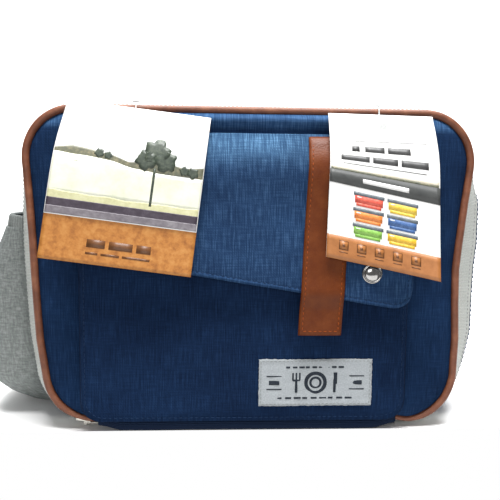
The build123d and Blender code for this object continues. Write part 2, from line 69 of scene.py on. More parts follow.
TAPER = 0.09
WIDEST_Z = 166.0
BODY_LOW, BODY_HIGH = span("gusset_outer")
PIPING_LOW, PIPING_HIGH = span("panel_piping")
COIL_LOW, COIL_HIGH = span("shell_zip_coil")
PIPE_R = (PIPING_HIGH[1] - PIPING_LOW[1]) / 2
COIL_R = (COIL_HIGH[1] - COIL_LOW[1]) / 2
# a rim is half width at WIDEST_Z, lowest z, highest z, corner radius
BODY = (147.5, 0.0, BODY_HIGH[2], 34.0)
CHAIN = (138.5, COIL_LOW[2] + COIL_R, COIL_HIGH[2] - COIL_R, 30.0)
PIPING = (135.7, PIPING_LOW[2] + PIPE_R, PIPING_HIGH[2] - PIPE_R, 29.0)
SHELL_FRONT = BODY_LOW[1]
SHELL_BACK = BODY_HIGH[1]
PIPING_Y = (PIPING_HIGH[1] + PIPING_LOW[1]) / 2
PANEL_Y = span("panel_outer")[0][1]
BASE_HALF = span("base_outer")[1][0]
POCKET_LOW, POCKET_HIGH = span("pocket_face")
POCKET_Y = POCKET_LOW[1]
FLAP_LOW, FLAP_HIGH = span("flap")
STRAP_LOW, STRAP_HIGH = span("flap_strap")
LABEL_LOW, LABEL_HIGH = span("woven_label")
HINGE_HALF = span("hinge_band")[1][0]
HEM_MIDDLE_Z = 93.0
HEM_SLOPE = -0.165
FOLD_Z = 177.6


# ---------------------------------------------------------------- mesh helpers
RIGHT, UP, FRONT, BACK = (1.0, 0.0, 0.0), (0.0, 0.0, 1.0), (0.0, -1.0, 0.0), (0.0, 1.0, 0.0)


def link(obj):
    bpy.context.scene.collection.objects.link(obj)
    return obj


def make_mesh(name, verts, faces, uvs=None, material=None, smooth=True):
    """An object from vertices in millimetres, faces and one (u, v) in millimetres per vertex."""
    mesh = bpy.data.meshes.new(name)
    mesh.from_pydata((np.asarray(verts, float) * MM).tolist(), [], [tuple(f) for f in faces])
    if uvs is not None:
        layer = mesh.uv_layers.new(name="UVMap")
        loops = np.zeros(len(mesh.loops), int)
        mesh.loops.foreach_get("vertex_index", loops)
        layer.data.foreach_set("uv", np.asarray(uvs, float)[loops].ravel())
    mesh.polygons.foreach_set("use_smooth", [smooth] * len(mesh.polygons))
    if material is not None:
        mesh.materials.append(material)
    mesh.validate()
    solid = bmesh.new()
    solid.from_mesh(mesh)
    bmesh.ops.recalc_face_normals(solid, faces=solid.faces)
    solid.to_mesh(mesh)
    solid.free()
    mesh.update()
    return link(bpy.data.objects.new(name, mesh))


def grid_faces(nu, nv, wrap_u=False, wrap_v=False, start=0, flip=False):
    """Quads over an nu by nv grid of vertices stored row by row."""
    faces = []
    for i in range(nu if wrap_u else nu - 1):
        for j in range(nv if wrap_v else nv - 1):
            a = start + i * nv + j
            b = start + i * nv + (j + 1) % nv
            c = start + ((i + 1) % nu) * nv + (j + 1) % nv
            d = start + ((i + 1) % nu) * nv + j
            faces.append((a, d, c, b) if flip else (a, b, c, d))
    return faces


def end_caps(count, sides, start=0):
    """The two end faces of a tube of rings."""
    last = start + (count - 1) * sides
    return [tuple(range(start, start + sides))[::-1], tuple(range(last, last + sides))]


def grid_normals(grid, wrap_u=False):
    """Unit normals of a grid of points."""
    if wrap_u:
        du = np.roll(grid, -1, 0) - np.roll(grid, 1, 0)
    else:
        du = np.gradient(grid, axis=0)
    dv = np.gradient(grid, axis=1)
    normal = np.cross(du, dv)
    return normal / np.maximum(np.linalg.norm(normal, axis=2, keepdims=True), 1e-9)


def cloth(name, grid, uv, material, thickness=1.0, wrap_u=False, round_u=0, round_v=2, flip=False,
          disc=False):
    """A closed sheet of cloth or leather round a grid of mid-surface points, with softened edges. A disc's
    last column is its middle and is filled in."""
    nu, nv = grid.shape[:2]
    normal = grid_normals(grid, wrap_u) * (-1 if flip else 1)
    half = np.full((nu, nv), thickness / 2)

    def soften(count, rows, axis):
        for k in range(rows):
            scale = math.sqrt(1 - (1 - (k + 0.35) / (rows + 0.35)) ** 2)
            edge = [slice(None), slice(None)]
            for index in (k,) if disc else (k, count - 1 - k):
                edge[axis] = index
                half[tuple(edge)] *= scale

    if round_v:
        soften(nv, round_v, 1)
    if round_u and not wrap_u:
        soften(nu, round_u, 0)
    outer = grid + normal * half[..., None]
    inner = grid - normal * half[..., None]
    verts = np.concatenate([outer.reshape(-1, 3), inner.reshape(-1, 3)])
    size = nu * nv
    faces = grid_faces(nu, nv, wrap_u, flip=flip)
    faces += grid_faces(nu, nv, wrap_u, start=size, flip=not flip)

    def rim_quad(a, b):
        return (a, b, b + size, a + size) if flip else (a, a + size, b + size, b)

    for i in range(nu if wrap_u else nu - 1):
        here, there = i * nv, ((i + 1) % nu) * nv
        faces.append(rim_quad(there, here))
        if not disc:
            faces.append(rim_quad(here + nv - 1, there + nv - 1))
    if disc:
        middle = [i * nv + nv - 1 for i in range(nu)]
        faces.append(tuple(middle))
        faces.append(tuple(k + size for k in reversed(middle)))
    if not wrap_u:
        for j in range(nv - 1):
            faces.append(rim_quad(j, j + 1))
            last = (nu - 1) * nv
            faces.append(rim_quad(last + j + 1, last + j))
    uvs = np.concatenate([uv.reshape(-1, 2)] * 2)
    return make_mesh(name, verts, faces, uvs, material)


def tube(name, path, normal, binormal, radius_n, radius_b, material, closed=False, sides=14, seam=0.0):
    """A tube of oval section along a path; its ends are rounded off unless it is closed."""
    path = np.asarray(path, float)
    angle = np.linspace(0, 2 * math.pi, sides, endpoint=False)
    length = along(path)
    scale = np.ones(len(path))
    points = [path]
    if not closed:
        start, end = path[0] - path[1], path[-1] - path[-2]
        cap = min(radius_n, radius_b) * 0.8
        steps, sizes = np.array([(0.45, 0.9), (0.8, 0.62), (0.98, 0.25)]).T
        head = path[0] + np.outer(cap * steps[::-1], start / np.linalg.norm(start))
        tail = path[-1] + np.outer(cap * steps, end / np.linalg.norm(end))
        points = [head, path, tail]
        scale = np.r_[sizes[::-1], scale, sizes]
        normal = np.concatenate([np.repeat(normal[:1], 3, 0), normal, np.repeat(normal[-1:], 3, 0)])
        binormal = np.concatenate([np.repeat(binormal[:1], 3, 0), binormal, np.repeat(binormal[-1:], 3, 0)])
        length = np.r_[[length[0]] * 3, length, [length[-1]] * 3]
    line = np.concatenate(points)
    pinch = 1 - seam * np.exp(-((np.angle(np.exp(1j * angle))) / 0.35) ** 2)
    scale = scale[:, None, None]
    ring = (line[:, None] + normal[:, None] * (np.cos(angle) * pinch)[None, :, None] * radius_n * scale
            + binormal[:, None] * np.sin(angle)[None, :, None] * radius_b * scale)
    uv = uv_grid(length, angle * (radius_n + radius_b) / 2)
    faces = grid_faces(len(line), sides, closed, True)
    if not closed:
        faces += end_caps(len(line), sides)
    return make_mesh(name, ring.reshape(-1, 3), faces, uv.reshape(-1, 2), material)


def waves(x, z, seed, reach, parts=5):
    """Smooth seeded ripples of about unit height over two coordinates in millimetres."""
    random = np.random.default_rng(seed)
    total = 0
    for _ in range(parts):
        direction = random.uniform(0, 2 * math.pi)
        wave = 2 * math.pi / (reach * random.uniform(0.6, 1.6))
        phase = random.uniform(0, 2 * math.pi)
        total = total + np.sin((x * math.cos(direction) + z * math.sin(direction)) * wave + phase)
    return total / math.sqrt(parts)


def smoothstep(value, low, high):
    """Smooth ramp from 0 at low to 1 at high; low may be the larger of the two."""
    t = np.clip((value - low) / (high - low), 0, 1)
    return t * t * (3 - 2 * t)


# ---------------------------------------------------------------- rims
RIM_STEP = 2.2
# lengths that set how many points each part of a rim gets, so that all rims match
BOTTOM_RUN, SIDE_RUN, TOP_RUN, CORNER = 100, 120, 110, 30


def rim_loop(rim, inset=0.0):
    """Points and outward normals round a rim, from the middle of the bottom to the right, over the top
    and back. Every rim gets the same number of points on each run and corner."""
    half, low, high, radius = rim
    low, high, radius = low + inset, high - inset, max(radius - inset, 0.5)
    slanted = inset * math.sqrt(1 + TAPER**2)
    half_low = half - TAPER * (WIDEST_Z - low) - slanted
    half_high = half - TAPER * (WIDEST_Z - high) - slanted
    lean = math.atan(TAPER)
    turn_low, turn_high = math.pi / 2 + lean, math.pi / 2 - lean
    reach_low = radius / math.tan(turn_low / 2)
    reach_high = radius / math.tan(turn_high / 2)
    low_centre = np.array([half_low - reach_low, low + radius])
    high_centre = np.array([half_high - reach_high, high - radius])
    count = int(0.5 * math.pi * CORNER / RIM_STEP)
    low_angles = np.linspace(-math.pi / 2, -lean, count)
    high_angles = np.linspace(-lean, math.pi / 2, count)
    right = []
    normals = []
    for t in np.linspace(0, 1, int(BOTTOM_RUN / RIM_STEP), endpoint=False):
        right.append((low_centre[0] * t, low))
        normals.append((0, -1))
    for angle in low_angles:
        normals.append((math.cos(angle), math.sin(angle)))
        right.append(low_centre + radius * np.array(normals[-1]))
    start, end = np.array(right[-1]), high_centre + radius * np.array([math.cos(lean), -math.sin(lean)])
    for t in np.linspace(0, 1, int(SIDE_RUN / RIM_STEP) + 1)[1:-1]:
        right.append(start + (end - start) * t)
        normals.append((math.cos(lean), -math.sin(lean)))
    for angle in high_angles:
        normals.append((math.cos(angle), math.sin(angle)))
        right.append(high_centre + radius * np.array(normals[-1]))
    for t in np.linspace(0, 1, int(TOP_RUN / RIM_STEP), endpoint=False)[1:]:
        right.append((high_centre[0] * (1 - t), high))
        normals.append((0, 1))
    right = np.array(right, float)
    normals = np.array(normals, float)
    middle_top = np.array([[0, high]])
    left = right[::-1] * [-1, 1]
    points = np.concatenate([right, middle_top, left[:-1]])
    normals = np.concatenate([normals, [[0, 1]], (normals[::-1] * [-1, 1])[:-1]])
    return settle(points), normals


# how far out the filled bag's sides have settled at each height
SETTLE_Z = [0, 12, 20, 32, 56, 80, 100, 115, 140, 160, 175, 200]
RIGHT_OUT = [0.0, 2.0, 3.5, 4.5, 3.0, -0.2, -2.4, -2.4, -2.2, -1.5, -1.8, -1.8]
LEFT_OUT = [-0.6, -2.2, -1.8, -0.6, 0.6, 0.0, -0.8, -1.6, -2.4, -2.7, -2.8, -2.5]


def settle(points):
    """Rim points moved the way the soft bag slumps: narrower at the shoulders, wider at the feet."""
    x, z = points[:, 0], points[:, 1]
    side = smoothstep(np.abs(x), 40, 110)
    out = np.where(x > 0, np.interp(z, SETTLE_Z, RIGHT_OUT), -np.interp(z, SETTLE_Z, LEFT_OUT)) * side
    foot = 1 - smoothstep(z, 8, 40)
    drop = 2.2 * smoothstep(x, 88, 104) * foot + 1.2 * smoothstep(-x, 108, 124) * foot
    return np.stack([x + out, z - drop], 1)


def along(points):
    """Distance along a line of points."""
    return np.r_[0, np.cumsum(np.linalg.norm(np.diff(points, axis=0), axis=1))]


def between(points, dist, at):
    """One point, or several, at distances along a line of points."""
    return np.stack([np.interp(at, dist, column) for column in points.T], -1)


def at_y(points, y):
    """Points or directions of the front view, stood at y."""
    return np.stack([points[:, 0], np.full(len(points), y), points[:, 1]], 1)


def every(direction, line):
    """One direction, repeated for every point of a line."""
    return np.repeat([direction], len(line), 0)


def arc(centre, radius, start, end, count):
    """Points on an arc; its angles are in degrees."""
    turn = np.radians(np.linspace(start, end, count))
    return np.stack([centre[0] + radius * np.cos(turn), centre[1] + radius * np.sin(turn)], 1)


def unit_steps(path):
    """Unit tangents along a line of points."""
    tangent = np.gradient(path, axis=0)
    return tangent / np.linalg.norm(tangent, axis=1, keepdims=True)


def uv_grid(rows, columns):
    """UV of a grid in millimetres, from one distance for each row and one for each column."""
    return np.stack(np.broadcast_arrays(np.asarray(rows)[:, None], np.asarray(columns)[None]), -1)


def extrude(xs, profile):
    """Grid and UV of a strip: a (y, z) profile repeated at every x."""
    grid = np.zeros((len(xs), len(profile), 3))
    grid[..., 0] = xs[:, None]
    grid[..., 1:] = profile[None]
    return grid, uv_grid(xs, along(profile))


def open_run(points, end_left, end_right, below=30.0):
    """Indices of a rim's points, leaving out its bottom run between two ends."""
    return np.flatnonzero(~((points[:, 0] > end_left) & (points[:, 0] < end_right) & (points[:, 1] < below)))


def stitches(name, path, normals, material, pitch=3.2, length=2.1, radius=0.28, lift=0.12):
    """Real thread stitches along a path: short rounded rods that dip at both ends."""
    path = np.asarray(path, float)
    normals = np.asarray(normals, float)
    dist = along(path)
    count = max(int(dist[-1] / pitch), 1)
    verts, faces = [], []
    sides = 6
    profile = [(-0.5, 0.35, -1.0), (-0.3, 0.9, 0.0), (0, 1.0, 0.25), (0.3, 0.9, 0.0), (0.5, 0.35, -1.0)]
    for k in range(count):
        middle = (k + 0.5) * dist[-1] / count
        centre = between(path, dist, middle)
        up = between(normals, dist, middle)
        up /= np.linalg.norm(up)
        forward = between(path, dist, middle + 0.5) - between(path, dist, middle - 0.5)
        forward /= max(np.linalg.norm(forward), 1e-9)
        side = np.cross(forward, up)
        base = len(verts)
        for shift, scale, rise in profile:
            ring_centre = centre + forward * shift * length + up * (lift + rise * radius)
            for s in range(sides):
                angle = 2 * math.pi * s / sides
                offset = (side * math.cos(angle) + up * math.sin(angle)) * radius * scale
                verts.append(ring_centre + offset)
        faces += grid_faces(len(profile), sides, False, True, base, flip=True)
        faces += [cap[::-1] for cap in end_caps(len(profile), sides, base)]
    return make_mesh(name, verts, faces, np.zeros((len(verts), 2)), material)


def join(name, objects):
    """One object out of several."""
    bpy.ops.object.select_all(action="DESELECT")
    for obj in objects:
        obj.select_set(True)
    bpy.context.view_layer.objects.active = objects[0]
    bpy.ops.object.join()
    objects[0].name = name
    objects[0].data.name = name
    return objects[0]


def piece(obj, body, slot, *nodes):
    """Put a finished piece on the body that it rides on and hide the CAD nodes that it stands for. Its slot
    is not used.
    """
    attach(obj, body)
    if nodes:
        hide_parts(*nodes)
    return obj


# ---------------------------------------------------------------- materials
class Material:
    """A node material with short calls for the nodes used here."""

    def __init__(self, name, roughness=0.8, metallic=0.0, **sockets):
        self.material = bpy.data.materials.new(name)
        self.material.use_nodes = True
        self.tree = self.material.node_tree
        self.shader = self.tree.nodes["Principled BSDF"]
        self.shader.inputs["Roughness"].default_value = roughness
        self.shader.inputs["Metallic"].default_value = metallic
        for socket, value in sockets.items():
            self.shader.inputs[socket.replace("_", " ")].default_value = value

    def node(self, kind, inputs=None, **settings):
        node = self.tree.nodes.new(kind)
        for key, value in settings.items():
            setattr(node, key, value)
        for key, value in (inputs or {}).items():
            if isinstance(value, bpy.types.NodeSocket):
                self.tree.links.new(value, node.inputs[key])
            else:
                node.inputs[key].default_value = value
        return node

    def finish(self, colour, normal=None, roughness=None):
        """Wire what the shader takes from nodes, and give the finished material."""
        for socket, output in (("Base Color", colour), ("Normal", normal), ("Roughness", roughness)):
            if output is not None:
                self.tree.links.new(output, self.shader.inputs[socket])
        return self.material

    def uv(self, scale_u, scale_v):
        """UV coordinates in millimetres, scaled."""
        source = self.node("ShaderNodeTexCoord").outputs["UV"]
        scale = (scale_u, scale_v, 1.0)
        return self.node("ShaderNodeMapping", {"Vector": source, "Scale": scale}).outputs["Vector"]

    def place(self):
        """Object coordinates in millimetres."""
        source = self.node("ShaderNodeTexCoord").outputs["Object"]
        return self.node("ShaderNodeMapping", {"Vector": source, "Scale": (1000.0,) * 3}).outputs["Vector"]

    def noise(self, vector, scale, detail=3.0, rough=0.55):
        inputs = {"Vector": vector, "Scale": scale, "Detail": detail, "Roughness": rough}
        return self.node("ShaderNodeTexNoise", inputs).outputs["Fac"]

    def grain(self, u, v, detail, rough=0.55):
        """Noise with a grain of u by v millimetres."""
        return self.noise(self.uv(1 / u, 1 / v), 1.0, detail, rough)

    def math(self, operation, a, b=0.0):
        return self.node("ShaderNodeMath", {0: a, 1: b}, operation=operation).outputs[0]

    def ramp(self, factor, stops):
        """Colour ramp from (position, (r, g, b)) stops."""
        node = self.node("ShaderNodeValToRGB", {"Fac": factor})
        elements = node.color_ramp.elements
        while len(elements) < len(stops):
            elements.new(0.5)
        for element, (position, colour) in zip(elements, stops):
            element.position = position
            element.color = (*srgb(colour), 1)
        return node.outputs["Color"]

    def mix(self, factor, a, b, blend="MIX"):
        node = self.node("ShaderNodeMix", data_type="RGBA", blend_type=blend)
        for socket, value in zip((0, 6, 7), (factor, a, b)):
            if isinstance(value, bpy.types.NodeSocket):
                self.tree.links.new(value, node.inputs[socket])
            elif socket == 0:
                node.inputs[0].default_value = value
            else:
                node.inputs[socket].default_value = (*srgb(value), 1)
        return node.outputs[2]

    def bump(self, height, strength, distance=0.0004, under=None):
        inputs = {"Height": height, "Strength": strength, "Distance": distance}
        if under is not None:
            inputs["Normal"] = under
        return self.node("ShaderNodeBump", inputs).outputs["Normal"]


def srgb(colour):
    """Linear colour from 0 to 255 display values."""
    out = []
    for value in colour:
        c = value / 255
        out.append(c / 12.92 if c <= 0.04045 else ((c + 0.055) / 1.055) ** 2.4)
    return tuple(out)


def weave(mat, pitch, strength, distance):
    """Plain-weave bump from two crossed sets of threads in UV millimetres."""
    split = mat.node("ShaderNodeSeparateXYZ", {"Vector": mat.uv(2 * math.pi / pitch, 2 * math.pi / pitch)})
    warp = mat.math("SINE", split.outputs["X"])
    weft = mat.math("SINE", split.outputs["Y"])
    return mat.bump(mat.math("MULTIPLY", warp, weft), strength, distance)


THREAD_STOPS = (0.30, 0.5, 0.66)


def canvas_material(name, shades, slub, highlight_shades=None, highlight_z=None):
    """Yarn-dyed canvas: fine vertical slubs, a few lighter threads and a plain weave. Lighter shades, a
    painted highlight where light from above falls on the top, take over between two heights, in millimetres."""
    mat = Material(name, roughness=0.8, Specular_IOR_Level=0.06)
    slubs = mat.grain(slub, 14.0, 4.0, 0.62)
    cross = mat.grain(11.0, 0.8, 3.0, 0.6)
    threads = mat.math("ADD", mat.math("MULTIPLY", slubs, 0.72), mat.math("MULTIPLY", cross, 0.28))
    colour = mat.ramp(threads, list(zip(THREAD_STOPS, shades)))
    # painted highlight: lighter shades above a given height, standing in for light falling from above on the
    # top
    if highlight_shades:
        height = mat.node("ShaderNodeSeparateXYZ", {"Vector": mat.place()}).outputs["Z"]
        limits = {"Value": height, "From Min": highlight_z[0], "From Max": highlight_z[1]}
        rise = mat.node("ShaderNodeMapRange", limits, interpolation_type="SMOOTHSTEP").outputs["Result"]
        colour = mat.mix(rise, colour, mat.ramp(threads, list(zip(THREAD_STOPS, highlight_shades))))
    tone = mat.ramp(mat.grain(60.0, 45.0, 2.0), [(0.3, (205, 205, 210)), (0.7, (255, 255, 255))])
    normal = mat.bump(threads, 0.6, 0.0005, weave(mat, 0.9, 0.5, 0.00035))
    return mat.finish(mat.mix(1.0, colour, tone, "MULTIPLY"), normal)


def knit_material(name, dark, mid, light):
    """Brushed heather cloth: soft mottled yarns in both directions."""
    mat = Material(name, roughness=0.95, Specular_IOR_Level=0.1)
    both = mat.math("ADD", mat.grain(1.4, 5.0, 4.0, 0.65), mat.grain(5.0, 1.2, 4.0, 0.65))
    mixed = mat.math("MULTIPLY", both, 0.5)
    colour = mat.ramp(mixed, [(0.34, dark), (0.5, mid), (0.64, light)])
    return mat.finish(colour, mat.bump(mixed, 0.6, 0.0006, weave(mat, 1.1, 0.4, 0.0003)))


def ribbed_material(name, base, pitch, light=None, across=False):
    """Woven tape or elastic with ribs."""
    mat = Material(name, roughness=0.85, Specular_IOR_Level=0.12)
    split = mat.node("ShaderNodeSeparateXYZ", {"Vector": mat.uv(2 * math.pi / pitch, 2 * math.pi / pitch)})
    rib = mat.math("SINE", split.outputs["X" if across else "Y"])
    fine = mat.noise(mat.uv(1.2, 1.2), 1.0, 3.0)
    shade = mat.math("ADD", mat.math("MULTIPLY", rib, 0.12), fine)
    lighter = light or tuple(min(255, int(c * 1.25)) for c in base)
    colour = mat.ramp(shade, [(0.3, base), (0.75, lighter)])
    return mat.finish(colour, mat.bump(mat.math("ADD", rib, fine), 0.6, 0.0003))


def leather_material(name, dark, mid, light, specular, smooth):
    """Smooth bag leather: pebbled grain, mottled dye, polished high spots."""
    mat = Material(name, roughness=0.42, Specular_IOR_Level=specular)
    mottle = mat.grain(9.0, 9.0, 4.0, 0.6)
    colour = mat.ramp(mottle, [(0.28, dark), (0.52, mid), (0.76, light)])
    grain = mat.node("ShaderNodeTexVoronoi", {"Vector": mat.uv(1.0, 1.0), "Scale": 1.5}, feature="F1")
    pores = mat.noise(mat.uv(2.2, 2.2), 1.0, 3.0)
    height = mat.math("SUBTRACT", mat.math("MULTIPLY", pores, 0.5), grain.outputs["Distance"])
    rough = mat.math("ADD", mat.math("MULTIPLY", mottle, 0.25), smooth)
    return mat.finish(colour, mat.bump(height, 0.28, 0.0003), rough)


SCRATCH = 0.1


def metal_material(name, colour, roughness):
    """Plated metal with faint wear in its polish."""
    mat = Material(name, roughness=roughness, metallic=1.0)
    wear = mat.noise(mat.place(), 0.6, 5.0, 0.7)
    darker = tuple(int(c * (1 - SCRATCH)) for c in colour)
    rough = mat.math("ADD", mat.math("MULTIPLY", wear, SCRATCH), roughness)
    return mat.finish(mat.ramp(wear, [(0.35, darker), (0.65, colour)]), mat.bump(wear, 0.05, 0.0002), rough)


def plastic_material(name, colour, roughness):
    """Moulded plastic with a faint mottle."""
    mat = Material(name, roughness=roughness)
    mottle = mat.noise(mat.place(), 1.5, 3.0)
    lighter = tuple(min(255, int(c * 1.12 + 3)) for c in colour)
    return mat.finish(mat.ramp(mottle, [(0.35, colour), (0.65, lighter)]), mat.bump(mottle, 0.1, 0.0001))


def card_material(name, dark, mid, light, grain=6.0, roughness=0.5):
    """Printed card: slight mottle and a fine paper tooth."""
    mat = Material(name, roughness=roughness, Coat_Weight=0.1, Coat_Roughness=0.35)
    colour = mat.ramp(mat.grain(grain, grain, 6.0, 0.7), [(0.3, dark), (0.5, mid), (0.72, light)])
    return mat.finish(colour, mat.bump(mat.noise(mat.uv(2.5, 2.5), 1.0, 2.0), 0.08, 0.0001))


def foil_material(name):
    """Wipeable silvery lining film with fine crinkles."""
    mat = Material(name, roughness=0.38, metallic=0.55)
    crinkle = mat.grain(7.0, 7.0, 6.0, 0.6)
    colour = mat.ramp(crinkle, [(0.3, (168, 172, 176)), (0.7, (214, 217, 220))])
    return mat.finish(colour, mat.bump(crinkle, 0.5, 0.0012))


NAVY = canvas_material("canvas_navy", [(13, 30, 56), (21, 42, 73), (33, 58, 94)], 0.6)
# the panel's second set of shades is a painted highlight: its top strip above the flap's roll is lighter from
# z 181.5 to 186 up
PANEL_NAVY = canvas_material("canvas_panel", [(15, 34, 62), (24, 48, 81), (37, 64, 102)], 0.6,
                             [(30, 56, 92), (54, 88, 128), (84, 120, 162)], (181.5, 186))
# the flap's second set of shades is a painted highlight: its top under the fold is lighter from z 156 to 175
# up
FLAP_BLUE = canvas_material("canvas_flap", [(25, 47, 79), (40, 67, 103), (68, 101, 140)], 0.62,
                            [(36, 62, 94), (62, 96, 130), (104, 146, 182)], (156, 175))
HINGE_BLUE = ribbed_material("hinge_weave", (16, 28, 48), 1.0)
BINDING = ribbed_material("binding_tape", (16, 26, 44), 1.2)
TAPE = ribbed_material("zip_tape_weave", (176, 180, 176), 1.0, (206, 208, 203), across=True)
TEETH = plastic_material("zip_teeth", (190, 193, 188), 0.35)
GREY = knit_material("heather_grey", (96, 101, 100), (124, 129, 127), (150, 154, 152))
ELASTIC = ribbed_material("ribbed_elastic", (112, 117, 115), 1.6, (140, 144, 142), across=True)
LEATHER = leather_material("cognac_leather", (90, 39, 9), (99, 46, 12), (110, 55, 19), 0.2, 0.32)
PIPING_LEATHER = leather_material("piping_leather", (92, 50, 30), (118, 68, 44), (142, 92, 64), 0.5, 0.42)
ORANGE_THREAD = ribbed_material("tan_thread", (124, 60, 26), 0.5)
NAVY_THREAD = ribbed_material("navy_thread", (22, 40, 68), 0.5, (38, 60, 92))
GREY_THREAD = ribbed_material("grey_thread", (120, 124, 122), 0.5)
LABEL_CLOTH = ribbed_material("label_weave", (156, 162, 166), 0.7, (186, 191, 194))
DARK_THREAD = ribbed_material("label_thread", (36, 42, 50), 0.6, (58, 64, 72))
WEBBING = ribbed_material("navy_webbing", (18, 32, 58), 2.0, (32, 50, 84))
FOIL = foil_material("lining_film")
CHROME = metal_material("snap_plating", (176, 174, 172), 0.08)
ZINC = metal_material("zip_plating", (232, 228, 218), 0.42)
BLACK = plastic_material("black_nylon", (20, 20, 22), 0.4)
NYLON = plastic_material("clear_nylon", (206, 208, 206), 0.3)
CARD_WHITE = card_material("card_white", (236, 236, 234), (246, 246, 244), (252, 252, 250))
CARD_ORANGE = card_material("card_worn_orange", (142, 82, 26), (184, 119, 50), (202, 144, 76), 5.0, 0.6)
CARD_BROWN = card_material("card_brown", (150, 92, 44), (172, 110, 58), (184, 122, 70), 9.0)
CARD_MARK = card_material("card_mark", (96, 58, 26), (108, 66, 32), (120, 76, 40), 4.0)
CARD_GREY = card_material("card_dark_grey", (58, 60, 60), (68, 70, 69), (78, 80, 79))
INK = card_material("card_ink", (60, 60, 60), (76, 76, 76), (90, 90, 90))
SKY = card_material("print_sky", (238, 240, 238), (246, 247, 245), (252, 252, 250), 18.0)
DAWN = card_material("print_dawn", (240, 226, 200), (246, 238, 220), (250, 248, 240), 14.0)
HILLS = card_material("print_hills", (74, 82, 70), (104, 104, 84), (150, 142, 112), 3.0)
TREES = card_material("print_trees", (40, 50, 44), (62, 72, 60), (88, 96, 80), 2.0)
FIELD = card_material("print_field", (214, 218, 190), (230, 232, 212), (240, 240, 228), 16.0)
GRASS = card_material("print_grass", (190, 188, 142), (208, 206, 162), (222, 220, 184), 5.0)
ROAD = card_material("print_road", (46, 36, 48), (62, 52, 64), (84, 76, 86), 5.0)
KERB = card_material("print_kerb", (96, 90, 98), (120, 114, 120), (148, 144, 148), 6.0)
FOODS = {name: card_material(f"print_{name}", *shades, 1.6) for name, shades in {
    "red": ((196, 62, 50), (222, 92, 74), (236, 130, 104)),
    "orange": ((206, 104, 36), (232, 134, 62), (244, 164, 92)),
    "green": ((98, 150, 54), (130, 182, 78), (164, 206, 110)),
    "yellow": ((206, 166, 40), (232, 196, 70), (244, 216, 110)),
    "blue": ((44, 76, 128), (64, 100, 154), (96, 130, 178)),
    "gold": ((204, 152, 26), (232, 184, 52), (246, 208, 90)),
}.items()}
LID = card_material("print_lid", (84, 92, 98), (104, 112, 118), (130, 138, 144), 3.0)


# ---------------------------------------------------------------- padded shell
SIDE_BULGE = 6.5
TOP_BULGE = 0.6
BULGE_TOP_Z = 40.0
# how far the front edge of each side flares past the settled rim, by height
FLARE_Z = [10, 32, 56, 100, 114, 140, 150, 166, 180, 200]
RIGHT_FLARE = [0.0, 0.0, 4.0, 6.0, 6.1, 3.5, 0.5, -3.5, -4.0, -3.0]
LEFT_FLARE = [0.0, -1.2, -1.1, -1.1, -1.1, -3.0, -4.0, -6.2, -6.5, -4.0]


def shell_surface(y, depth=0.0):
    """Loop of the shell's outside at depth y, as the padding swells it, with its outward normals."""
    points, normals = rim_loop(BODY, depth)
    x, z = points.T
    right = x > 0
    s = (y - SHELL_FRONT) / (SHELL_BACK - SHELL_FRONT)
    swell = (1 - math.exp(-max(y - SHELL_FRONT, 0) / 5.0)) * (1 - math.exp(-max(SHELL_BACK - y, 0) / 12.0))
    bulge = np.where(right, SIDE_BULGE, 0.45 * SIDE_BULGE)
    sideways = np.abs(normals[:, 0]) * bulge + np.clip(normals[:, 1], 0, 1) * TOP_BULGE
    shoulder = np.where(right, smoothstep(z, 142, 160), smoothstep(z, 128, 150))
    sideways *= smoothstep(z, 2.0, BULGE_TOP_Z) * (1 - shoulder * (1 - smoothstep(s, 0.25, 0.7)))
    flare = np.where(right, np.interp(z, FLARE_Z, RIGHT_FLARE), np.interp(z, FLARE_Z, LEFT_FLARE))
    flare = flare * np.abs(normals[:, 0]) * (1 - smoothstep(s, 0.3, 0.8))
    ripple = 0.5 * waves(along(points), np.full(len(points), y * 1.5), 11, 60) * smoothstep(z, 2, 20)
    back_round = 3.0 * smoothstep(y, SHELL_BACK - 7, SHELL_BACK) ** 2 * smoothstep(z, 1.0, 6.0)
    offset = sideways * swell + ripple * min(1.0, 4 * s, 4 * (1 - s) + 0.2) - back_round + flare
    return points + normals * offset[:, None], normals


def build_gusset():
    """Canvas wall round the sides and top, with topstitching beside both seams."""
    stations = np.linspace(SHELL_FRONT, SHELL_BACK + 0.5, 40)
    loops = np.stack([at_y(shell_surface(y, 0.5)[0], y) for y in stations], 1)
    dist = along(loops[:, 0])
    keep = open_run(loops[:, 0][:, [0, 2]], -BASE_HALF, BASE_HALF, 5.0)
    loops = loops[keep]
    uv = uv_grid(dist[keep], stations)[..., ::-1]
    wall = cloth("gusset_canvas", loops, uv, NAVY, 1.2, flip=True)
    piece(wall, "shell", "canvas", "gusset_outer", "gusset_foam")
    out = at_y(rim_loop(BODY, 0.5)[1], 0.0)[keep]
    for name, index in (("front", 2), ("back", -3)):
        seam = stitches(f"gusset_stitching_{name}", loops[:, index] + out * 0.6, out, NAVY_THREAD)
        piece(seam, "shell", "canvas")


def build_base():
    """Flat canvas base with a slight padding swell between its seams."""
    xs = np.linspace(-BASE_HALF, BASE_HALF, 60)
    ys = np.linspace(SHELL_FRONT, SHELL_BACK, 40)
    grid = np.zeros((len(xs), len(ys), 3))
    grid[..., 0] = xs[:, None]
    grid[..., 1] = ys[None, :]
    inner = np.minimum.outer(BASE_HALF - np.abs(xs), np.minimum(ys - ys[0], ys[-1] - ys))
    grid[..., 2] = 1.9 - 1.3 * smoothstep(inner, 0, 9)
    base = cloth("base_canvas", grid, grid[..., :2], NAVY, 1.2, round_u=2, flip=True)
    piece(base, "shell", "canvas", "base_outer", "base_foam")


def disc_grid(outline, rings, profile):
    """Points of a filled outline: rings from the edge to the middle; profile(x, z, d) gives y."""
    centre = (outline.max(0) + outline.min(0)) / 2
    grid = np.zeros((len(outline), len(rings), 3))
    for j, r in enumerate(rings):
        flat = centre + (outline - centre) * r
        depth = np.linalg.norm(outline - flat, axis=1)
        grid[:, j] = at_y(flat, profile(flat[:, 0], flat[:, 1], depth))
    return grid


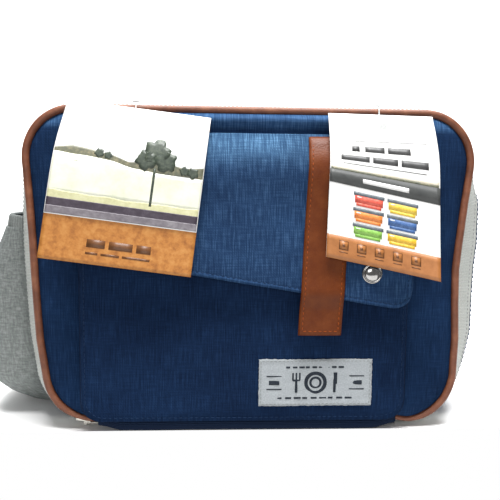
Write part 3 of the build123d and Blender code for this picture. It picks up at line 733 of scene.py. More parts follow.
def filled(name, outline, rings, profile, material, thickness=1.0, flip=False):
    """Closed cloth over a filled outline."""
    grid = disc_grid(outline, rings, profile)
    return cloth(name, grid, grid[..., [0, 2]], material, thickness, wrap_u=True, round_v=1, flip=flip,
                 disc=True)


# rings of a filled outline, from its edge to its middle
EDGE_RINGS = np.array([1.0, 0.995, 0.985, 0.97, 0.95, 0.92, 0.88, 0.83, 0.77, 0.7, 0.62, 0.53, 0.43, 0.32,
                       0.2, 0.08, 0.005])
PANEL_RINGS = np.array([1.0, 0.992, 0.982, 0.97, 0.957, 0.943, 0.929, 0.914, 0.899, 0.884, 0.868, 0.85, 0.82,
                        0.78, 0.73, 0.65, 0.55, 0.42, 0.25, 0.08, 0.004])
POCKET_RINGS = np.array([1.0, 0.99, 0.98, 0.965, 0.945, 0.92, 0.89, 0.85, 0.8, 0.74, 0.67, 0.58, 0.47, 0.34,
                         0.2, 0.08, 0.004])


def build_back():
    """Back panel: crowned canvas with a bound seam all round."""
    outline, normals = shell_surface(SHELL_BACK, 1.2)

    def crown(x, z, d):
        ripple = 0.35 * waves(x, z, 21, 70) * smoothstep(d, 4, 30)
        return SHELL_BACK + 0.6 + 2.6 * smoothstep(d, 0, 30) + ripple

    grid = disc_grid(outline, EDGE_RINGS, crown)
    grid[..., 2] = np.maximum(grid[..., 2], 1.0)
    panel = cloth("back_canvas", grid, grid[..., [0, 2]], NAVY, 1.0, wrap_u=True, round_v=1, disc=True)
    piece(panel, "shell", "canvas", "back_outer", "back_foam")
    low = outline.copy()
    low[:, 1] = np.maximum(low[:, 1], 1.3)
    out = at_y(normals, 0.0)
    back = every(BACK, out)
    seam = tube("back_seam_cord", at_y(low, SHELL_BACK + 0.9), out, back, 1.3, 1.3, BINDING, True, 10)
    piece(seam, "shell", "binding")
    stitched = stitches("back_stitching", grid[:, 3] + [0, 0.5, 0], back, NAVY_THREAD)
    piece(stitched, "shell", "canvas")


# how far the lining stands inside the wall and the back
LINING_INSET, LINING_BACK = 6.2, 6.4


def build_lining():
    """Film lining of the compartment, crinkled, with a bound mouth."""
    back_y = SHELL_BACK - LINING_BACK
    stations = np.linspace(SHELL_FRONT - 0.5, back_y, 30)
    points, normals = rim_loop(BODY, LINING_INSET)
    loops = np.zeros((len(points), len(stations), 3))
    for j, y in enumerate(stations):
        wrinkle = 0.4 * waves(along(points), np.full(len(points), y), 31, 45) * min(1, (y - stations[0]) / 12)
        loops[:, j] = at_y(shell_surface(y, LINING_INSET)[0] - normals * (0.3 + wrinkle)[:, None], y)
    def sag(x, z, d):
        return back_y - 1.0 * smoothstep(d, 0, 20) - 0.5 * waves(x, z, 33, 50) * smoothstep(d, 3, 25)

    outline = loops[:, -1][:, [0, 2]]
    back = disc_grid(outline, EDGE_RINGS[1:], sag)
    grid = np.concatenate([loops, back], 1)
    uv = uv_grid(along(points), np.arange(grid.shape[1]) * 4.0).copy()
    uv[:, len(stations):] = back[..., [0, 2]]
    film = cloth("lining_film", grid, uv, FOIL, 0.5, wrap_u=True, round_v=1, disc=True)
    piece(film, "shell", "lining", "body_liner")
    points, normals = shell_surface(SHELL_FRONT, 4.2)
    out = at_y(normals, 0.0)
    front = every(FRONT, out)
    mouth = tube("mouth_binding_tape", at_y(points, SHELL_FRONT - 0.7), out, front, 3.0, 1.3, BINDING, True)
    piece(mouth, "shell", "binding", "mouth_binding")


# ---------------------------------------------------------------- zip
ZIP_END = span("zip_stop_end")[1][0]
PANEL_ZIP_START = -109.0
TAPE_BOW = 0.9
TOOTH_PITCH, TOOTH_TALL, TOOTH_WIDE = 1.6, 1.45, 0.85


def build_zip_tapes():
    """Herringbone tapes of both halves; the shell's tape has a row of stitching."""
    shell_y = np.linspace(SHELL_FRONT + 1.5, -57.5, 9)
    outer, _ = shell_surface(SHELL_FRONT + 1.5, -0.4)
    inner, normals = rim_loop(CHAIN, 0.0)
    keep = open_run(inner, -ZIP_END, ZIP_END)
    grid = np.zeros((len(keep), len(shell_y), 3))
    for j, y in enumerate(shell_y):
        t = j / (len(shell_y) - 1)
        bow = TAPE_BOW * math.sin(math.pi * t)
        grid[:, j] = at_y((outer * (1 - t) + inner * t + normals * bow)[keep], y)
    uv = uv_grid(along(inner[keep]), shell_y * 1.2)
    strip = cloth("shell_zip_tape_cloth", grid, uv, TAPE, 0.8)
    piece(strip, "shell", "zip_tape", "shell_zip_tape")
    out = at_y(normals, 0.0)[keep]
    seam = stitches("shell_zip_stitching", grid[:, 2] + out * 0.5, out - [0, 0.5, 0], GREY_THREAD,
                    2.6, 1.8, 0.22)
    piece(seam, "shell", "zip_tape")

    pipe, _ = rim_loop(PIPING, 0.0)
    keep = open_run(inner, PANEL_ZIP_START, ZIP_END)
    panel_y = np.linspace(-62.6, -65.2, 4)
    grid = np.zeros((len(keep), len(panel_y), 3))
    for j, y in enumerate(panel_y):
        t = j / (len(panel_y) - 1)
        grid[:, j] = at_y((inner * (1 - t) + pipe * t)[keep], y)
    uv = uv_grid(along(inner[keep]), panel_y)
    strip = cloth("panel_zip_tape_cloth", grid, uv, TAPE, 0.7, round_v=1)
    piece(strip, "front_panel", "zip_tape", "panel_zip_tape")


def build_teeth(name, y_root, y_tip, start, phase):
    """Coil teeth as real rods across the chain, one every pitch, with their folded tips."""
    points, normals = rim_loop(CHAIN, 0.0)
    keep = open_run(points, start, ZIP_END)
    points, normals = points[keep], normals[keep]
    dist = along(points)
    count = int(dist[-1] / TOOTH_PITCH)
    ring = 6
    verts, faces = [], []
    shape = [(0.0, 0.35), (0.06, 0.62), (0.5, 0.62), (0.82, 0.8), (0.95, 0.7), (1.0, 0.3)]
    for k in range(count):
        at = (k + phase) * TOOTH_PITCH
        centre = between(points, dist, at)
        normal = between(normals, dist, at)
        normal /= np.linalg.norm(normal)
        tangent = np.array([-normal[1], normal[0]])
        base = len(verts)
        for t, radius in shape:
            y = y_root + (y_tip - y_root) * t
            for s in range(ring):
                angle = 2 * math.pi * s / ring
                flat = (centre + normal * math.cos(angle) * radius * TOOTH_TALL
                        + tangent * math.sin(angle) * radius * TOOTH_WIDE)
                verts.append((flat[0], y, flat[1]))
        faces += grid_faces(len(shape), ring, False, True, base, flip=y_tip < y_root)
        caps = end_caps(len(shape), ring, base)
        faces += caps if y_tip < y_root else [cap[::-1] for cap in caps]
    return make_mesh(name, verts, faces, np.zeros((len(verts), 2)), TEETH)


def build_zip():
    build_zip_tapes()
    shell_teeth = build_teeth("shell_zip_teeth", -56.8, -60.0, -ZIP_END, 0.25)
    piece(shell_teeth, "shell", "zip_coil", "shell_zip_coil")
    panel_teeth = build_teeth("panel_zip_teeth", -63.2, -60.1, PANEL_ZIP_START, 0.75)
    piece(panel_teeth, "front_panel", "zip_coil", "panel_zip_coil")


# ---------------------------------------------------------------- front panel
PANEL_SWELL = 3.2


def panel_y_at(d):
    """How far forward the panel's canvas stands at distance d from the piping."""
    return PANEL_Y + 3.0 * np.exp(-d / 1.7) - PANEL_SWELL * (1 - np.exp(-np.maximum(d - 1, 0) / 6.0))


PIPE_FORWARD = 1.4
PIPE_END = 92.0
# the soft roll above the flap: its height, half width and how far it stands out
ROLL_Z, ROLL_HALF, ROLL_OUT = 189.0, 3.4, 3.8


def build_panel():
    """Crowned canvas panel, its leather piping, and the film and binding behind it."""
    outline, normals = rim_loop(PIPING, PIPE_R * 0.75)

    def crown(x, z, d):
        ripple = 0.35 * waves(x, z, 41, 48) * smoothstep(d, 3, 14)
        inside = 1 - smoothstep(np.abs(x + 3), 84, 100)
        roll = -ROLL_OUT * np.exp(-((z - ROLL_Z) / ROLL_HALF) ** 2) * inside
        pucker = 0.3 * waves(x, z, 44, 8.0) * np.exp(-d / 7.0) * smoothstep(d, 0.5, 2.5)
        return panel_y_at(d) + ripple + roll + pucker

    canvas = filled("panel_canvas", outline, PANEL_RINGS, crown, PANEL_NAVY, flip=True)
    piece(canvas, "front_panel", "canvas", "panel_outer", "panel_foam")

    points, normals = rim_loop(PIPING)
    keep = open_run(points, -PIPE_END, PIPE_END)
    points, normals = points[keep], normals[keep]
    from_end = np.minimum(along(points), along(points[::-1])[::-1])
    slim = 1 - 0.34 * (1 - smoothstep(from_end, 6, 24))
    lift = 0.7 * (1 - smoothstep(from_end, 8, 26))
    line = at_y(points, PIPING_Y - PIPE_FORWARD) + np.outer(lift, UP)
    out = at_y(normals, 0.0) * slim[:, None]
    front = every(FRONT, line) * slim[:, None]
    pipe = tube("leather_piping", line, out, front, PIPE_R, PIPE_R, PIPING_LEATHER, sides=18)
    piece(pipe, "front_panel", "leather", "panel_piping")
    outline, _ = rim_loop(PIPING, 3.4)
    back_y = span("panel_liner")[1][1]

    def pillow(x, z, d):
        return back_y - 0.6 + 0.5 * smoothstep(d, 0, 18) + 0.25 * waves(x, z, 43, 40) * smoothstep(d, 3, 20)

    film = filled("panel_film", outline, PANEL_RINGS, pillow, FOIL, 0.5)
    piece(film, "front_panel", "lining", "panel_liner")
    points, normals = rim_loop(PIPING, 7.4)
    binding = tube("panel_binding_tape", at_y(points, back_y + 0.5), at_y(normals, 0.0), every(FRONT, points),
                   2.6, 0.75, BINDING, True)
    piece(binding, "front_panel", "binding", "panel_binding")


def build_hinge():
    """One canvas strip from under the base, round the fold and up to the panel."""
    profile = np.array([(-40.0, 1.3), (-46.0, 0.9), (-54.0, 0.7), (-62.0, 0.65), (-69.0, 0.65), (-73.0, 0.8),
                        (-75.6, 2.2), (-76.2, 4.6), (-75.4, 7.4), (-73.2, 10.0), (-70.6, 11.4)])
    dist = along(profile)
    profile = between(profile, dist, np.linspace(0, 1, 40) * dist[-1])
    for _ in range(4):
        profile[1:-1] = (profile[:-2] + 2 * profile[1:-1] + profile[2:]) / 4
    xs = np.linspace(-HINGE_HALF - 1, HINGE_HALF + 1, 90)
    grid, uv = extrude(xs, profile)
    ends = smoothstep(np.abs(xs), 76, HINGE_HALF + 1)[:, None]
    low = 4.6 * ends * smoothstep(profile[None, :, 0], -62, -72)
    grid[..., 1] += 0.25 * waves(xs, xs * 0, 51, 40)[:, None] + low
    grid[..., 2] += 1.4 * ends * smoothstep(profile[None, :, 0], -62, -70)
    strip = cloth("hinge_cloth", grid, uv, HINGE_BLUE, 0.8, round_u=1, flip=True)
    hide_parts("hinge_strip", "hinge_band")
    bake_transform(strip)


# ---------------------------------------------------------------- front pocket
POCKET_CORNER = 12.0
# the seam's place as a fraction of the outline's width and height, and where it ends under the flap
POCKET_SEAM, POCKET_SEAM_TOP = (0.968, 0.95), 130


def pocket_outline():
    """Outline of the pocket seen from the front, square at the top, rounded below."""
    (x0, _, z0), (x1, _, z1) = POCKET_LOW, POCKET_HIGH
    r, wide, tall = POCKET_CORNER, 70, 35
    return np.concatenate([
        np.linspace((x0 + r, z0), (x1 - r, z0), wide), arc((x1 - r, z0 + r), r, -90, 0, 12)[1:],
        np.linspace((x1, z0 + r), (x1, z1), tall)[1:], np.linspace((x1, z1), (x0, z1), wide)[1:],
        np.linspace((x0, z1), (x0, z0 + r), tall)[1:], arc((x0 + r, z0 + r), r, 180, 270, 12)[1:-1]])


def pocket_front(x, z, d):
    """Front of the filled pocket: rounded at its seams, a little full in the middle, softly rippled."""
    x_mid = (POCKET_LOW[0] + POCKET_HIGH[0]) / 2
    across = 1 - ((x - x_mid) / 98.0) ** 2
    edge = 3.0 * np.exp(-d / 2.6)
    crease = 1.6 * np.exp(-(((x - 84.0 - 0.03 * z) / 3.4) ** 2)) * (1 - smoothstep(z, 24, 70))
    edge = edge + crease * smoothstep(d, 0, 4)
    full = 1.2 * across * smoothstep(z, 8, 60)
    folds = 0.45 * np.sin((x - 0.25 * z) / 6.5) * np.exp(-((x - 5) / 28) ** 2) * smoothstep(z, 30, 70)
    folds = folds + 0.3 * waves(x, z * 0.4, 61, 38) * smoothstep(d, 3, 15)
    return POCKET_Y - 0.2 - full + edge + folds


def build_pocket():
    """Front pocket: its face, its pleated gusset, the tape on its hem and its stitching."""
    outline = pocket_outline()
    face = filled("pocket_canvas", outline, POCKET_RINGS, pocket_front, NAVY, flip=True)
    piece(face, "front_panel", "canvas", "pocket_face")

    start = np.argmin(np.abs(outline[:, 0] - POCKET_LOW[0]) + np.abs(outline[:, 1] - POCKET_HIGH[2]))
    order = np.r_[start:len(outline), 0:start + 1]
    path = outline[order % len(outline)]
    path = path[path[:, 1] < POCKET_HIGH[2] - 0.2]
    out = unit_steps(path)[:, ::-1] * [1, -1]
    pleat = [(2.6, -0.3), (4.0, -0.6), (5.5, -2.4), (7.0, -3.2), (8.2, -2.2), (9.4, -0.6), (10.6, 1.2)]
    grid = np.stack([at_y(path + out * shift, POCKET_Y + back) for back, shift in pleat], 1)
    uv = uv_grid(along(path), np.arange(len(pleat)) * 1.8)[..., ::-1]
    side = cloth("pocket_gusset_canvas", grid, uv, NAVY, 0.8, round_v=1)
    piece(side, "front_panel", "canvas", "pocket_gusset")

    xs = np.linspace(POCKET_LOW[0], POCKET_HIGH[0], 80)
    low, high = span("pocket_hem")
    line = np.stack([xs, pocket_front(xs, xs * 0 + low[2], xs * 0 + 20), xs * 0 + (low[2] + high[2]) / 2], 1)
    hem = tube("pocket_hem_tape", line, every(UP, xs), every(FRONT, xs), 2.6, 0.9, BINDING)
    piece(hem, "front_panel", "binding", "pocket_hem")

    centre = outline.mean(0)
    line = centre + (path - centre) * POCKET_SEAM
    line = line[line[:, 1] < POCKET_SEAM_TOP]
    spot = at_y(line, pocket_front(line[:, 0], line[:, 1], 4.0) - 0.55)
    seam = stitches("pocket_stitching", spot, every(FRONT, spot), NAVY_THREAD, 3.2, 2.2, 0.22)
    piece(seam, "front_panel", "canvas")


FRAY = 0.16


def build_label():
    """Woven label with frayed edges, a plain fork-and-knife sign and thread bars."""
    x0, x1 = LABEL_LOW[0], LABEL_HIGH[0]
    z0, z1 = LABEL_LOW[2], LABEL_HIGH[2]
    u, v = np.meshgrid(np.linspace(0, 1, 60), np.linspace(0, 1, 28), indexing="ij")
    fray = np.random.default_rng(71)
    x = x0 + (x1 - x0) * u
    z = z0 + (z1 - z0) * v
    for k in (0, -1):
        x[k] += fray.normal(0, FRAY, x.shape[1])
    for k in (0, -1):
        z[:, k] += fray.normal(0, FRAY * 0.7, x.shape[0])
    y = pocket_front(x, z, 30.0) - 1.1 + 0.12 * waves(x, z, 72, 14)
    patch_cloth = cloth("woven_label_cloth", np.stack([x, y, z], -1), np.stack([x, z], -1), LABEL_CLOTH, 0.6,
                        round_u=1, round_v=1, flip=True)
    piece(patch_cloth, "front_panel", "label_weave", "woven_label")

    def on_label(points):
        """Points on the label's face, from fractions across and up it."""
        flat = [x0, z0] + points * [x1 - x0, z1 - z0]
        return at_y(flat, pocket_front(flat[:, 0], flat[:, 1], 30.0) - 1.45)

    marks = []

    def bar(name, a, b, half):
        """A straight bar of raised thread."""
        line = on_label(np.linspace(a, b, 12))
        up = every(RIGHT if abs(a[0] - b[0]) < abs(a[1] - b[1]) else UP, line)
        front = np.cross(np.gradient(line, axis=0), up)
        front /= np.linalg.norm(front, axis=1, keepdims=True)
        marks.append(tube(name, line, up, front, half, 0.14, DARK_THREAD, sides=8))

    for z, start, end in ((0.83, 0.24, 0.76), (0.17, 0.16, 0.84)):
        for k in range(9):
            a = start + (end - start) * k / 9
            bar("label_bar", (a, z), (a + (end - start) / 9 * (0.55 + 0.12 * (k % 3)), z), 0.6)
    for a, b in ((0.07, 0.2), (0.8, 0.93)):
        for z in (0.36, 0.64):
            bar("label_rule", (a, z), (b, z), 0.35)
        bar("label_rule", (a + 0.02, 0.5), (b - 0.02, 0.5), 1.3)
    for k in range(3):
        bar("label_fork", (0.3 + 0.03 * k, 0.55), (0.3 + 0.03 * k, 0.71), 0.5)
    bar("label_fork", (0.3, 0.55), (0.36, 0.55), 0.6)
    bar("label_fork", (0.33, 0.29), (0.33, 0.55), 0.8)
    bar("label_knife", (0.67, 0.29), (0.67, 0.47), 0.8)
    bar("label_knife", (0.675, 0.47), (0.675, 0.71), 1.2)
    angles = np.linspace(0, 2 * math.pi, 48)
    for radius, thick in ((0.085, 1.1), (0.045, 0.7)):
        tall = radius * (x1 - x0) / (z1 - z0)
        ring = np.stack([0.5 + radius * np.cos(angles), 0.5 + tall * np.sin(angles)], 1)
        out = np.stack([np.cos(angles), 0 * angles, np.sin(angles)], 1)
        marks.append(tube("label_plate", on_label(ring), out, every(FRONT, ring), thick, 0.14, DARK_THREAD,
                          sides=8))
    piece(join("label_sign", marks), "front_panel", "label_weave")

    corners = [(0.02, 0.04), (0.98, 0.04), (0.98, 0.96), (0.02, 0.96), (0.02, 0.04)]
    sides = zip(corners, corners[1:], (40, 20) * 2)
    line = on_label(np.concatenate([np.linspace(a, b, count) for a, b, count in sides]))
    seam = stitches("label_stitching", line, every(FRONT, line), GREY_THREAD, 2.4, 1.6, 0.16)
    piece(seam, "front_panel", "label_weave")


# ---------------------------------------------------------------- flap, strap and snaps
FLAP_X0, FLAP_X1 = FLAP_LOW[0], FLAP_HIGH[0]
FLAP_CORNER = 13.0
FLAP_SEAM = 2.4
FLAP_BILLOW = 2.4
# the flap from the side: heights, and how far forward it stands there
FLAP_PROFILE_Z = [60.0, 92.0, 100.0, 112.0, 126.0, 140.0, 150.0, 157.0, 162.5, 167.0, 171.8, 175.6, 178.1,
                  180.1]
FLAP_PROFILE_Y = [-89.2, -88.6, -88.2, -87.1, -86.0, -85.7, -86.2, -86.6, -86.0, -84.3, -81.6, -78.6, -75.9,
                  -73.2]


def hem_z(x):
    """Height of the flap's rounded hem."""
    z = HEM_MIDDLE_Z + HEM_SLOPE * x
    for edge in (np.maximum(FLAP_CORNER - (FLAP_X1 - x), 0), np.maximum(FLAP_CORNER - (x - FLAP_X0), 0)):
        z = z + FLAP_CORNER - np.sqrt(np.maximum(FLAP_CORNER**2 - edge**2, 0.0))
    return z


def flap_y(x, z):
    """Middle of the flap's cloth: full under its fold, pressed in at the strap, slack towards the left."""
    out = np.interp(z, FLAP_PROFILE_Z, FLAP_PROFILE_Y)
    soft = 1 - smoothstep(z, FOLD_Z - 8, FOLD_Z)
    for shift in (-4.0, -2.0, 2.0, 4.0):
        out = out + np.interp(z + shift * soft, FLAP_PROFILE_Z, FLAP_PROFILE_Y)
    out = out / 5
    billow = -FLAP_BILLOW * smoothstep(-x, -20, 60) * (1 - smoothstep(z, 120, 150))
    billow = billow * (1 - 0.3 * smoothstep(-x, 80, 101))
    ripple = 0.3 * waves(x, z * 0.6, 81, 46) * smoothstep(FOLD_Z - z, 4, 25)
    pinch = 0.6 * np.exp(-((x - 43) / 16) ** 2) * (1 - smoothstep(z, 150, 175))
    return out + billow + ripple + pinch


def build_flap():
    """Canvas flap with a rolled fold, a turned hem and a row of stitching."""
    us = np.linspace(0, 1, 110)
    closer = 0.35 * (0.5 - 0.5 * np.cos(us * math.pi))
    xs = FLAP_X0 + (FLAP_X1 - FLAP_X0) * (closer + 0.65 * us)
    rows = np.linspace(0, 1, 60) ** 1.1
    roll = [(FOLD_Z - 2.4, -73.0), (FOLD_Z - 0.6, -72.7), (FOLD_Z + 1.2, -73.4), (FOLD_Z + 2.0, -75.0)]
    grid = np.zeros((len(xs), len(rows) + len(roll), 3))
    grid[..., 0] = xs[:, None]
    for j, (z, y) in enumerate(roll):
        grid[:, j, 1:] = y, z
    start_z = FOLD_Z + 1.2
    for j, t in enumerate(rows):
        z = start_z + (hem_z(xs) - start_z) * t
        grid[:, len(roll) + j, 1] = flap_y(xs, z)
        grid[:, len(roll) + j, 2] = z
    sheet = cloth("flap_canvas", grid, grid[..., [0, 2]], FLAP_BLUE, 2.0, round_u=3, round_v=3, flip=True)
    piece(sheet, "flap", "canvas", "flap")
    hem = hem_z(xs)
    z = hem + FLAP_SEAM * (1.0 + 0.4 * smoothstep(np.abs(xs - (FLAP_X0 + FLAP_X1) / 2), 84, 96))
    x = np.clip(xs, FLAP_X0 + FLAP_SEAM, FLAP_X1 - FLAP_SEAM)
    side_left = np.stack([np.full(30, FLAP_X0 + FLAP_SEAM), np.linspace(FOLD_Z - 6, z[0] + 6, 30)], 1)
    side_right = np.stack([np.full(30, FLAP_X1 - FLAP_SEAM), np.linspace(z[-1] + 6, FOLD_Z - 6, 30)], 1)
    flat = np.concatenate([side_left, np.stack([x, z], 1)[3:-3], side_right])
    line = at_y(flat, flap_y(flat[:, 0], flat[:, 1]) - 1.0)
    seam = stitches("flap_stitching_edge", line, every(FRONT, line), NAVY_THREAD, 3.0, 2.0, 0.24)
    piece(seam, "flap", "canvas")
    ridge = np.stack([xs, flap_y(xs, hem + 1.2) - 0.5, hem + 1.2], 1)[2:-2]
    roll = tube("flap_hem_roll", ridge, every(UP, ridge), every(FRONT, ridge), 1.3, 1.0, FLAP_BLUE, sides=10)
    piece(roll, "flap", "canvas")


STRAP_LEAN = 0.048
STRAP_THICK = 1.9
# how far left the strap stands, and its stitching as a fraction of half its width and above its tip
STRAP_SHIFT, STRAP_SEAM, TIP_SEAM = 3.8, 0.83, 2.6


def strap_point(s, z):
    """Middle of the strap's leather at s across (-1 to 1) and height z."""
    x_mid = (STRAP_LOW[0] + STRAP_HIGH[0]) / 2 - STRAP_SHIFT + STRAP_LEAN * (z - STRAP_LOW[2])
    half = (STRAP_HIGH[0] - STRAP_LOW[0]) / 2
    x = x_mid + s * half
    hem = HEM_MIDDLE_Z + HEM_SLOPE * x_mid
    y = flap_y(x_mid + 0 * z, np.maximum(z, hem)) - 1.0 - STRAP_THICK / 2
    y = y + 1.1 * smoothstep(hem + 1 - z, 0, 10) - 0.9 * np.exp(-((z - hem - 3) / 5.0) ** 2)
    y = y - 0.35 * (1 - s**2) + 0.15 * s**8
    return np.stack([x, y + 0 * x, z + 0 * x], -1)


def build_strap():
    """Leather strap with rounded edges, stitched on both long sides and across its tip."""
    zs = np.r_[np.linspace(FOLD_Z + 1.0, 100, 50), np.linspace(99, STRAP_LOW[2], 34)]
    ss = np.linspace(-1, 1, 17)
    s, z = np.meshgrid(ss, zs, indexing="ij")
    grid = strap_point(s, z)
    top = FOLD_Z - 5
    grid[..., 1] = np.where(z > top, grid[..., 1] - 0.2 * (z - top), grid[..., 1])
    uv = np.stack([s * 12.7, z], -1)
    leather = cloth("flap_strap_leather", grid, uv, LEATHER, STRAP_THICK, round_u=2, round_v=2, flip=True)
    piece(leather, "flap", "leather", "flap_strap")
    zs = np.linspace(FOLD_Z - 3, STRAP_LOW[2] + TIP_SEAM, 120)
    tip = np.linspace(-STRAP_SEAM, STRAP_SEAM, 30)
    rows = [("left", strap_point(-STRAP_SEAM + 0 * zs, zs)), ("right", strap_point(STRAP_SEAM + 0 * zs, zs)),
            ("tip", strap_point(tip, 0 * tip + STRAP_LOW[2] + TIP_SEAM))]
    for name, line in rows:
        line = line - [0, STRAP_THICK / 2, 0]
        seam = stitches(f"strap_stitching_{name}", line, every(FRONT, line), ORANGE_THREAD, 3.0, 2.0, 0.3)
        piece(seam, "flap", "leather")


def lathe(name, centre, profile, material, sides=48):
    """Turned part on an axis towards the front; profile is (radius, distance forward of centre)."""
    angles = np.linspace(0, 2 * math.pi, sides, endpoint=False)
    verts = [(centre[0] + radius * math.cos(a), centre[1] - forward, centre[2] + radius * math.sin(a))
             for radius, forward in profile for a in angles]
    faces = grid_faces(len(profile), sides, False, True) + end_caps(len(profile), sides)
    return make_mesh(name, verts, faces, np.zeros((len(verts), 2)), material)


# the snap's rolled rim, as (fraction of its radius, distance forward), and its dome's fraction
SNAP_RIM = [(0.2, 0.0), (0.9, 0.0), (1.0, 0.35), (1.0, 0.9), (0.97, 1.25), (0.9, 1.45), (0.84, 1.35),
            (0.8, 1.25), (0.76, 1.5)]
SNAP_DOME = 0.76


def build_snaps():
    """Dome snap caps with a rolled rim."""
    for side in ("left", "right"):
        low, high = span(f"snap_cap_{side}")
        radius = (high[0] - low[0]) / 2
        x, z = (low[0] + high[0]) / 2, (low[2] + high[2]) / 2
        centre = (x, float(flap_y(x, z)) - 0.7, z)
        profile = [(radius * part, forward) for part, forward in SNAP_RIM]
        for turn in np.linspace(0.15, 0.98, 8) * math.pi / 2:
            profile.append((radius * SNAP_DOME * math.cos(turn), 1.4 + 1.6 * math.sin(turn)))
        cap = lathe(f"snap_dome_{side}", centre, profile, CHROME)
        piece(cap, "flap", "snap_chrome", f"snap_cap_{side}")


# ---------------------------------------------------------------- hang tags
TAG_LINE = [(-71.4, 197.2), (-84.0, 180.0), (-90.0, 168.0), (-91.6, 158.0), (-92.6, 120.0), (-94.8, 80.0)]
TAG_SPREAD = 3.2
PICTURE_LENGTH = 65.0
HOLE_R = 1.0
CARD_STEP = 2.2
PRINT_THICK = 0.08
PRINT_LIFT = 0.36


class Tag:
    """A card that hangs over the flap's fold, with what is printed on it. Places on it are fractions a across
    and b down; reach says how far its lower right corner lifts."""

    def __init__(self, top, tilt, width, length, hole, twist, pivot, reach):
        turn = math.radians(tilt)
        self.across = np.array([math.cos(turn), math.sin(turn)])
        self.down = np.array([math.sin(turn), -math.cos(turn)])
        self.corner = np.array(top) - self.across * width / 2
        self.width, self.length, self.hole = width, length, np.array(hole)
        self.twist, self.pivot, self.reach = twist, pivot, reach
        self.tall = length
        self.parts = []

    def stands_at(self, x, z):
        """Middle of the card over the flap's fold, with its curl."""
        ys, zs = np.array(TAG_LINE).T
        y = np.interp(-z, -zs, ys)
        for shift in (-5, -2.5, 2.5, 5):
            y = y + np.interp(-(z + shift), -zs, ys)
        a = ((x - self.corner[0]) * self.across[0] + (z - self.corner[1]) * self.across[1]) / self.width
        curl = self.reach * np.clip(a - 0.25, 0, 1) ** 2
        return y / 5 - curl * np.clip((176.0 - z) / 80.0, 0, 1)

    def grid(self, a, b, lift):
        """Points of the card, lifted forward from its middle."""
        a, b = np.asarray(a), np.asarray(b)
        flat = self.corner + a[..., None] * self.across * self.width + b[..., None] * self.down * self.tall
        x, z = flat[..., 0], flat[..., 1]
        fall = b * self.tall
        z = z - self.twist * (a - 0.4) * smoothstep(fall, 12, 45)
        x = x + TAG_SPREAD * (a - self.pivot) * fall / self.length
        grid = np.stack([x, self.stands_at(x, z), z], -1)
        normal = grid_normals(grid)
        normal *= np.where(normal[..., 1:2] > 0, -1, 1)
        return grid + normal * lift

    def sheet(self, name, a, b, lift, material, thickness=PRINT_THICK):
        uv = np.stack([a * self.width, b * self.tall], -1)
        return cloth(name, self.grid(a, b, lift), uv, material, thickness, round_v=0), uv

    def card(self, name, lift, material, thickness):
        """The card itself, with a punched hole: the cells round one vertex are cut back to eight sides."""
        rows = int(self.tall / CARD_STEP)
        a, b = np.meshgrid(np.linspace(0, 1, 34), np.linspace(0, 1, rows), indexing="ij")
        offset = self.hole - self.corner
        hole = np.array([offset @ self.across / self.width, offset @ self.down / self.tall])
        ai, bi = np.argmin(abs(a[:, 0] - hole[0])), np.argmin(abs(b[0] - hole[1]))
        a[ai, bi], b[ai, bi] = hole
        whole, uv = self.sheet(name, a, b, lift, material, thickness)
        nu, nv = a.shape
        centre = ai * nv + bi
        other = nu * nv
        verts = [tuple(v.co / MM) for v in whole.data.vertices]
        uvs = np.concatenate([uv.reshape(-1, 2)] * 2)
        faces = [tuple(p.vertices) for p in whole.data.polygons
                 if centre not in p.vertices and centre + other not in p.vertices]
        around = [(-1, -1), (-1, 0), (-1, 1), (0, 1), (1, 1), (1, 0), (1, -1), (0, -1)]
        rings = []
        for sheet in (0, other):
            edge = [(ai + du) * nv + bi + dv + sheet for du, dv in around]
            middle = np.array(verts[centre + sheet])
            ring = list(range(len(verts), len(verts) + 8))
            for k in edge:
                away = np.array(verts[k]) - middle
                verts.append(tuple(middle + away / np.linalg.norm(away) * HOLE_R))
            uvs = np.vstack([uvs] + [uvs[centre]] * 8)
            rings.append(ring)
            faces += [(edge[k], edge[(k + 1) % 8], ring[(k + 1) % 8], ring[k]) for k in range(8)]
        faces += [(rings[0][k], rings[0][(k + 1) % 8], rings[1][(k + 1) % 8], rings[1][k]) for k in range(8)]
        bpy.data.objects.remove(whole)
        self.parts = [make_mesh(name, verts, faces, uvs, material)]

    def patch(self, name, lift, material, a0, a1, b0, b1):
        """A printed area: a very thin patch on the card's face."""
        a, b = np.meshgrid(np.linspace(a0, a1, max(int((a1 - a0) * 30), 2)),
                           np.linspace(b0, b1, max(int((b1 - b0) * self.tall / CARD_STEP), 2)), indexing="ij")
        self.parts.append(self.sheet(name, a, b, lift, material)[0])

    def blob(self, name, lift, material, a0, b0, r):
        """A printed round spot with an uneven edge; its radius r is a fraction of the card's width."""
        angles = np.linspace(0, 2 * math.pi, 28, endpoint=False)
        uneven = 1 + 0.13 * np.sin(angles * 5 + a0 * 40) + 0.08 * np.sin(angles * 9 + b0 * 30)
        rings = np.array([1.0, 0.6, 0.02])
        a = a0 + (np.cos(angles) * uneven)[:, None] * rings[None] * r
        b = b0 + (np.sin(angles) * uneven)[:, None] * rings[None] * r * self.width / self.tall
        grid = self.grid(a, b, 0.0)
        grid[..., 1] -= lift
        uv = np.stack([a * self.width, b * self.tall], -1)
        self.parts.append(cloth(name, grid, uv, material, PRINT_THICK, wrap_u=True, round_v=0, disc=True))

    def band(self, name, lift, material, tops, bottom):
        """A printed area across the card with an uneven top edge; tops is a list of (a, b)."""
        a = np.linspace(0.004, 0.996, 60)
        top = np.interp(a, *np.array(tops).T) + 0.006 * waves(a * 100, a * 0, 91, 22) * (len(tops) > 2)
        b = top[:, None] + (bottom - top[:, None]) * np.linspace(0, 1, 10)[None]
        self.parts.append(self.sheet(name, np.broadcast_to(a[:, None], b.shape), b, lift, material)[0])


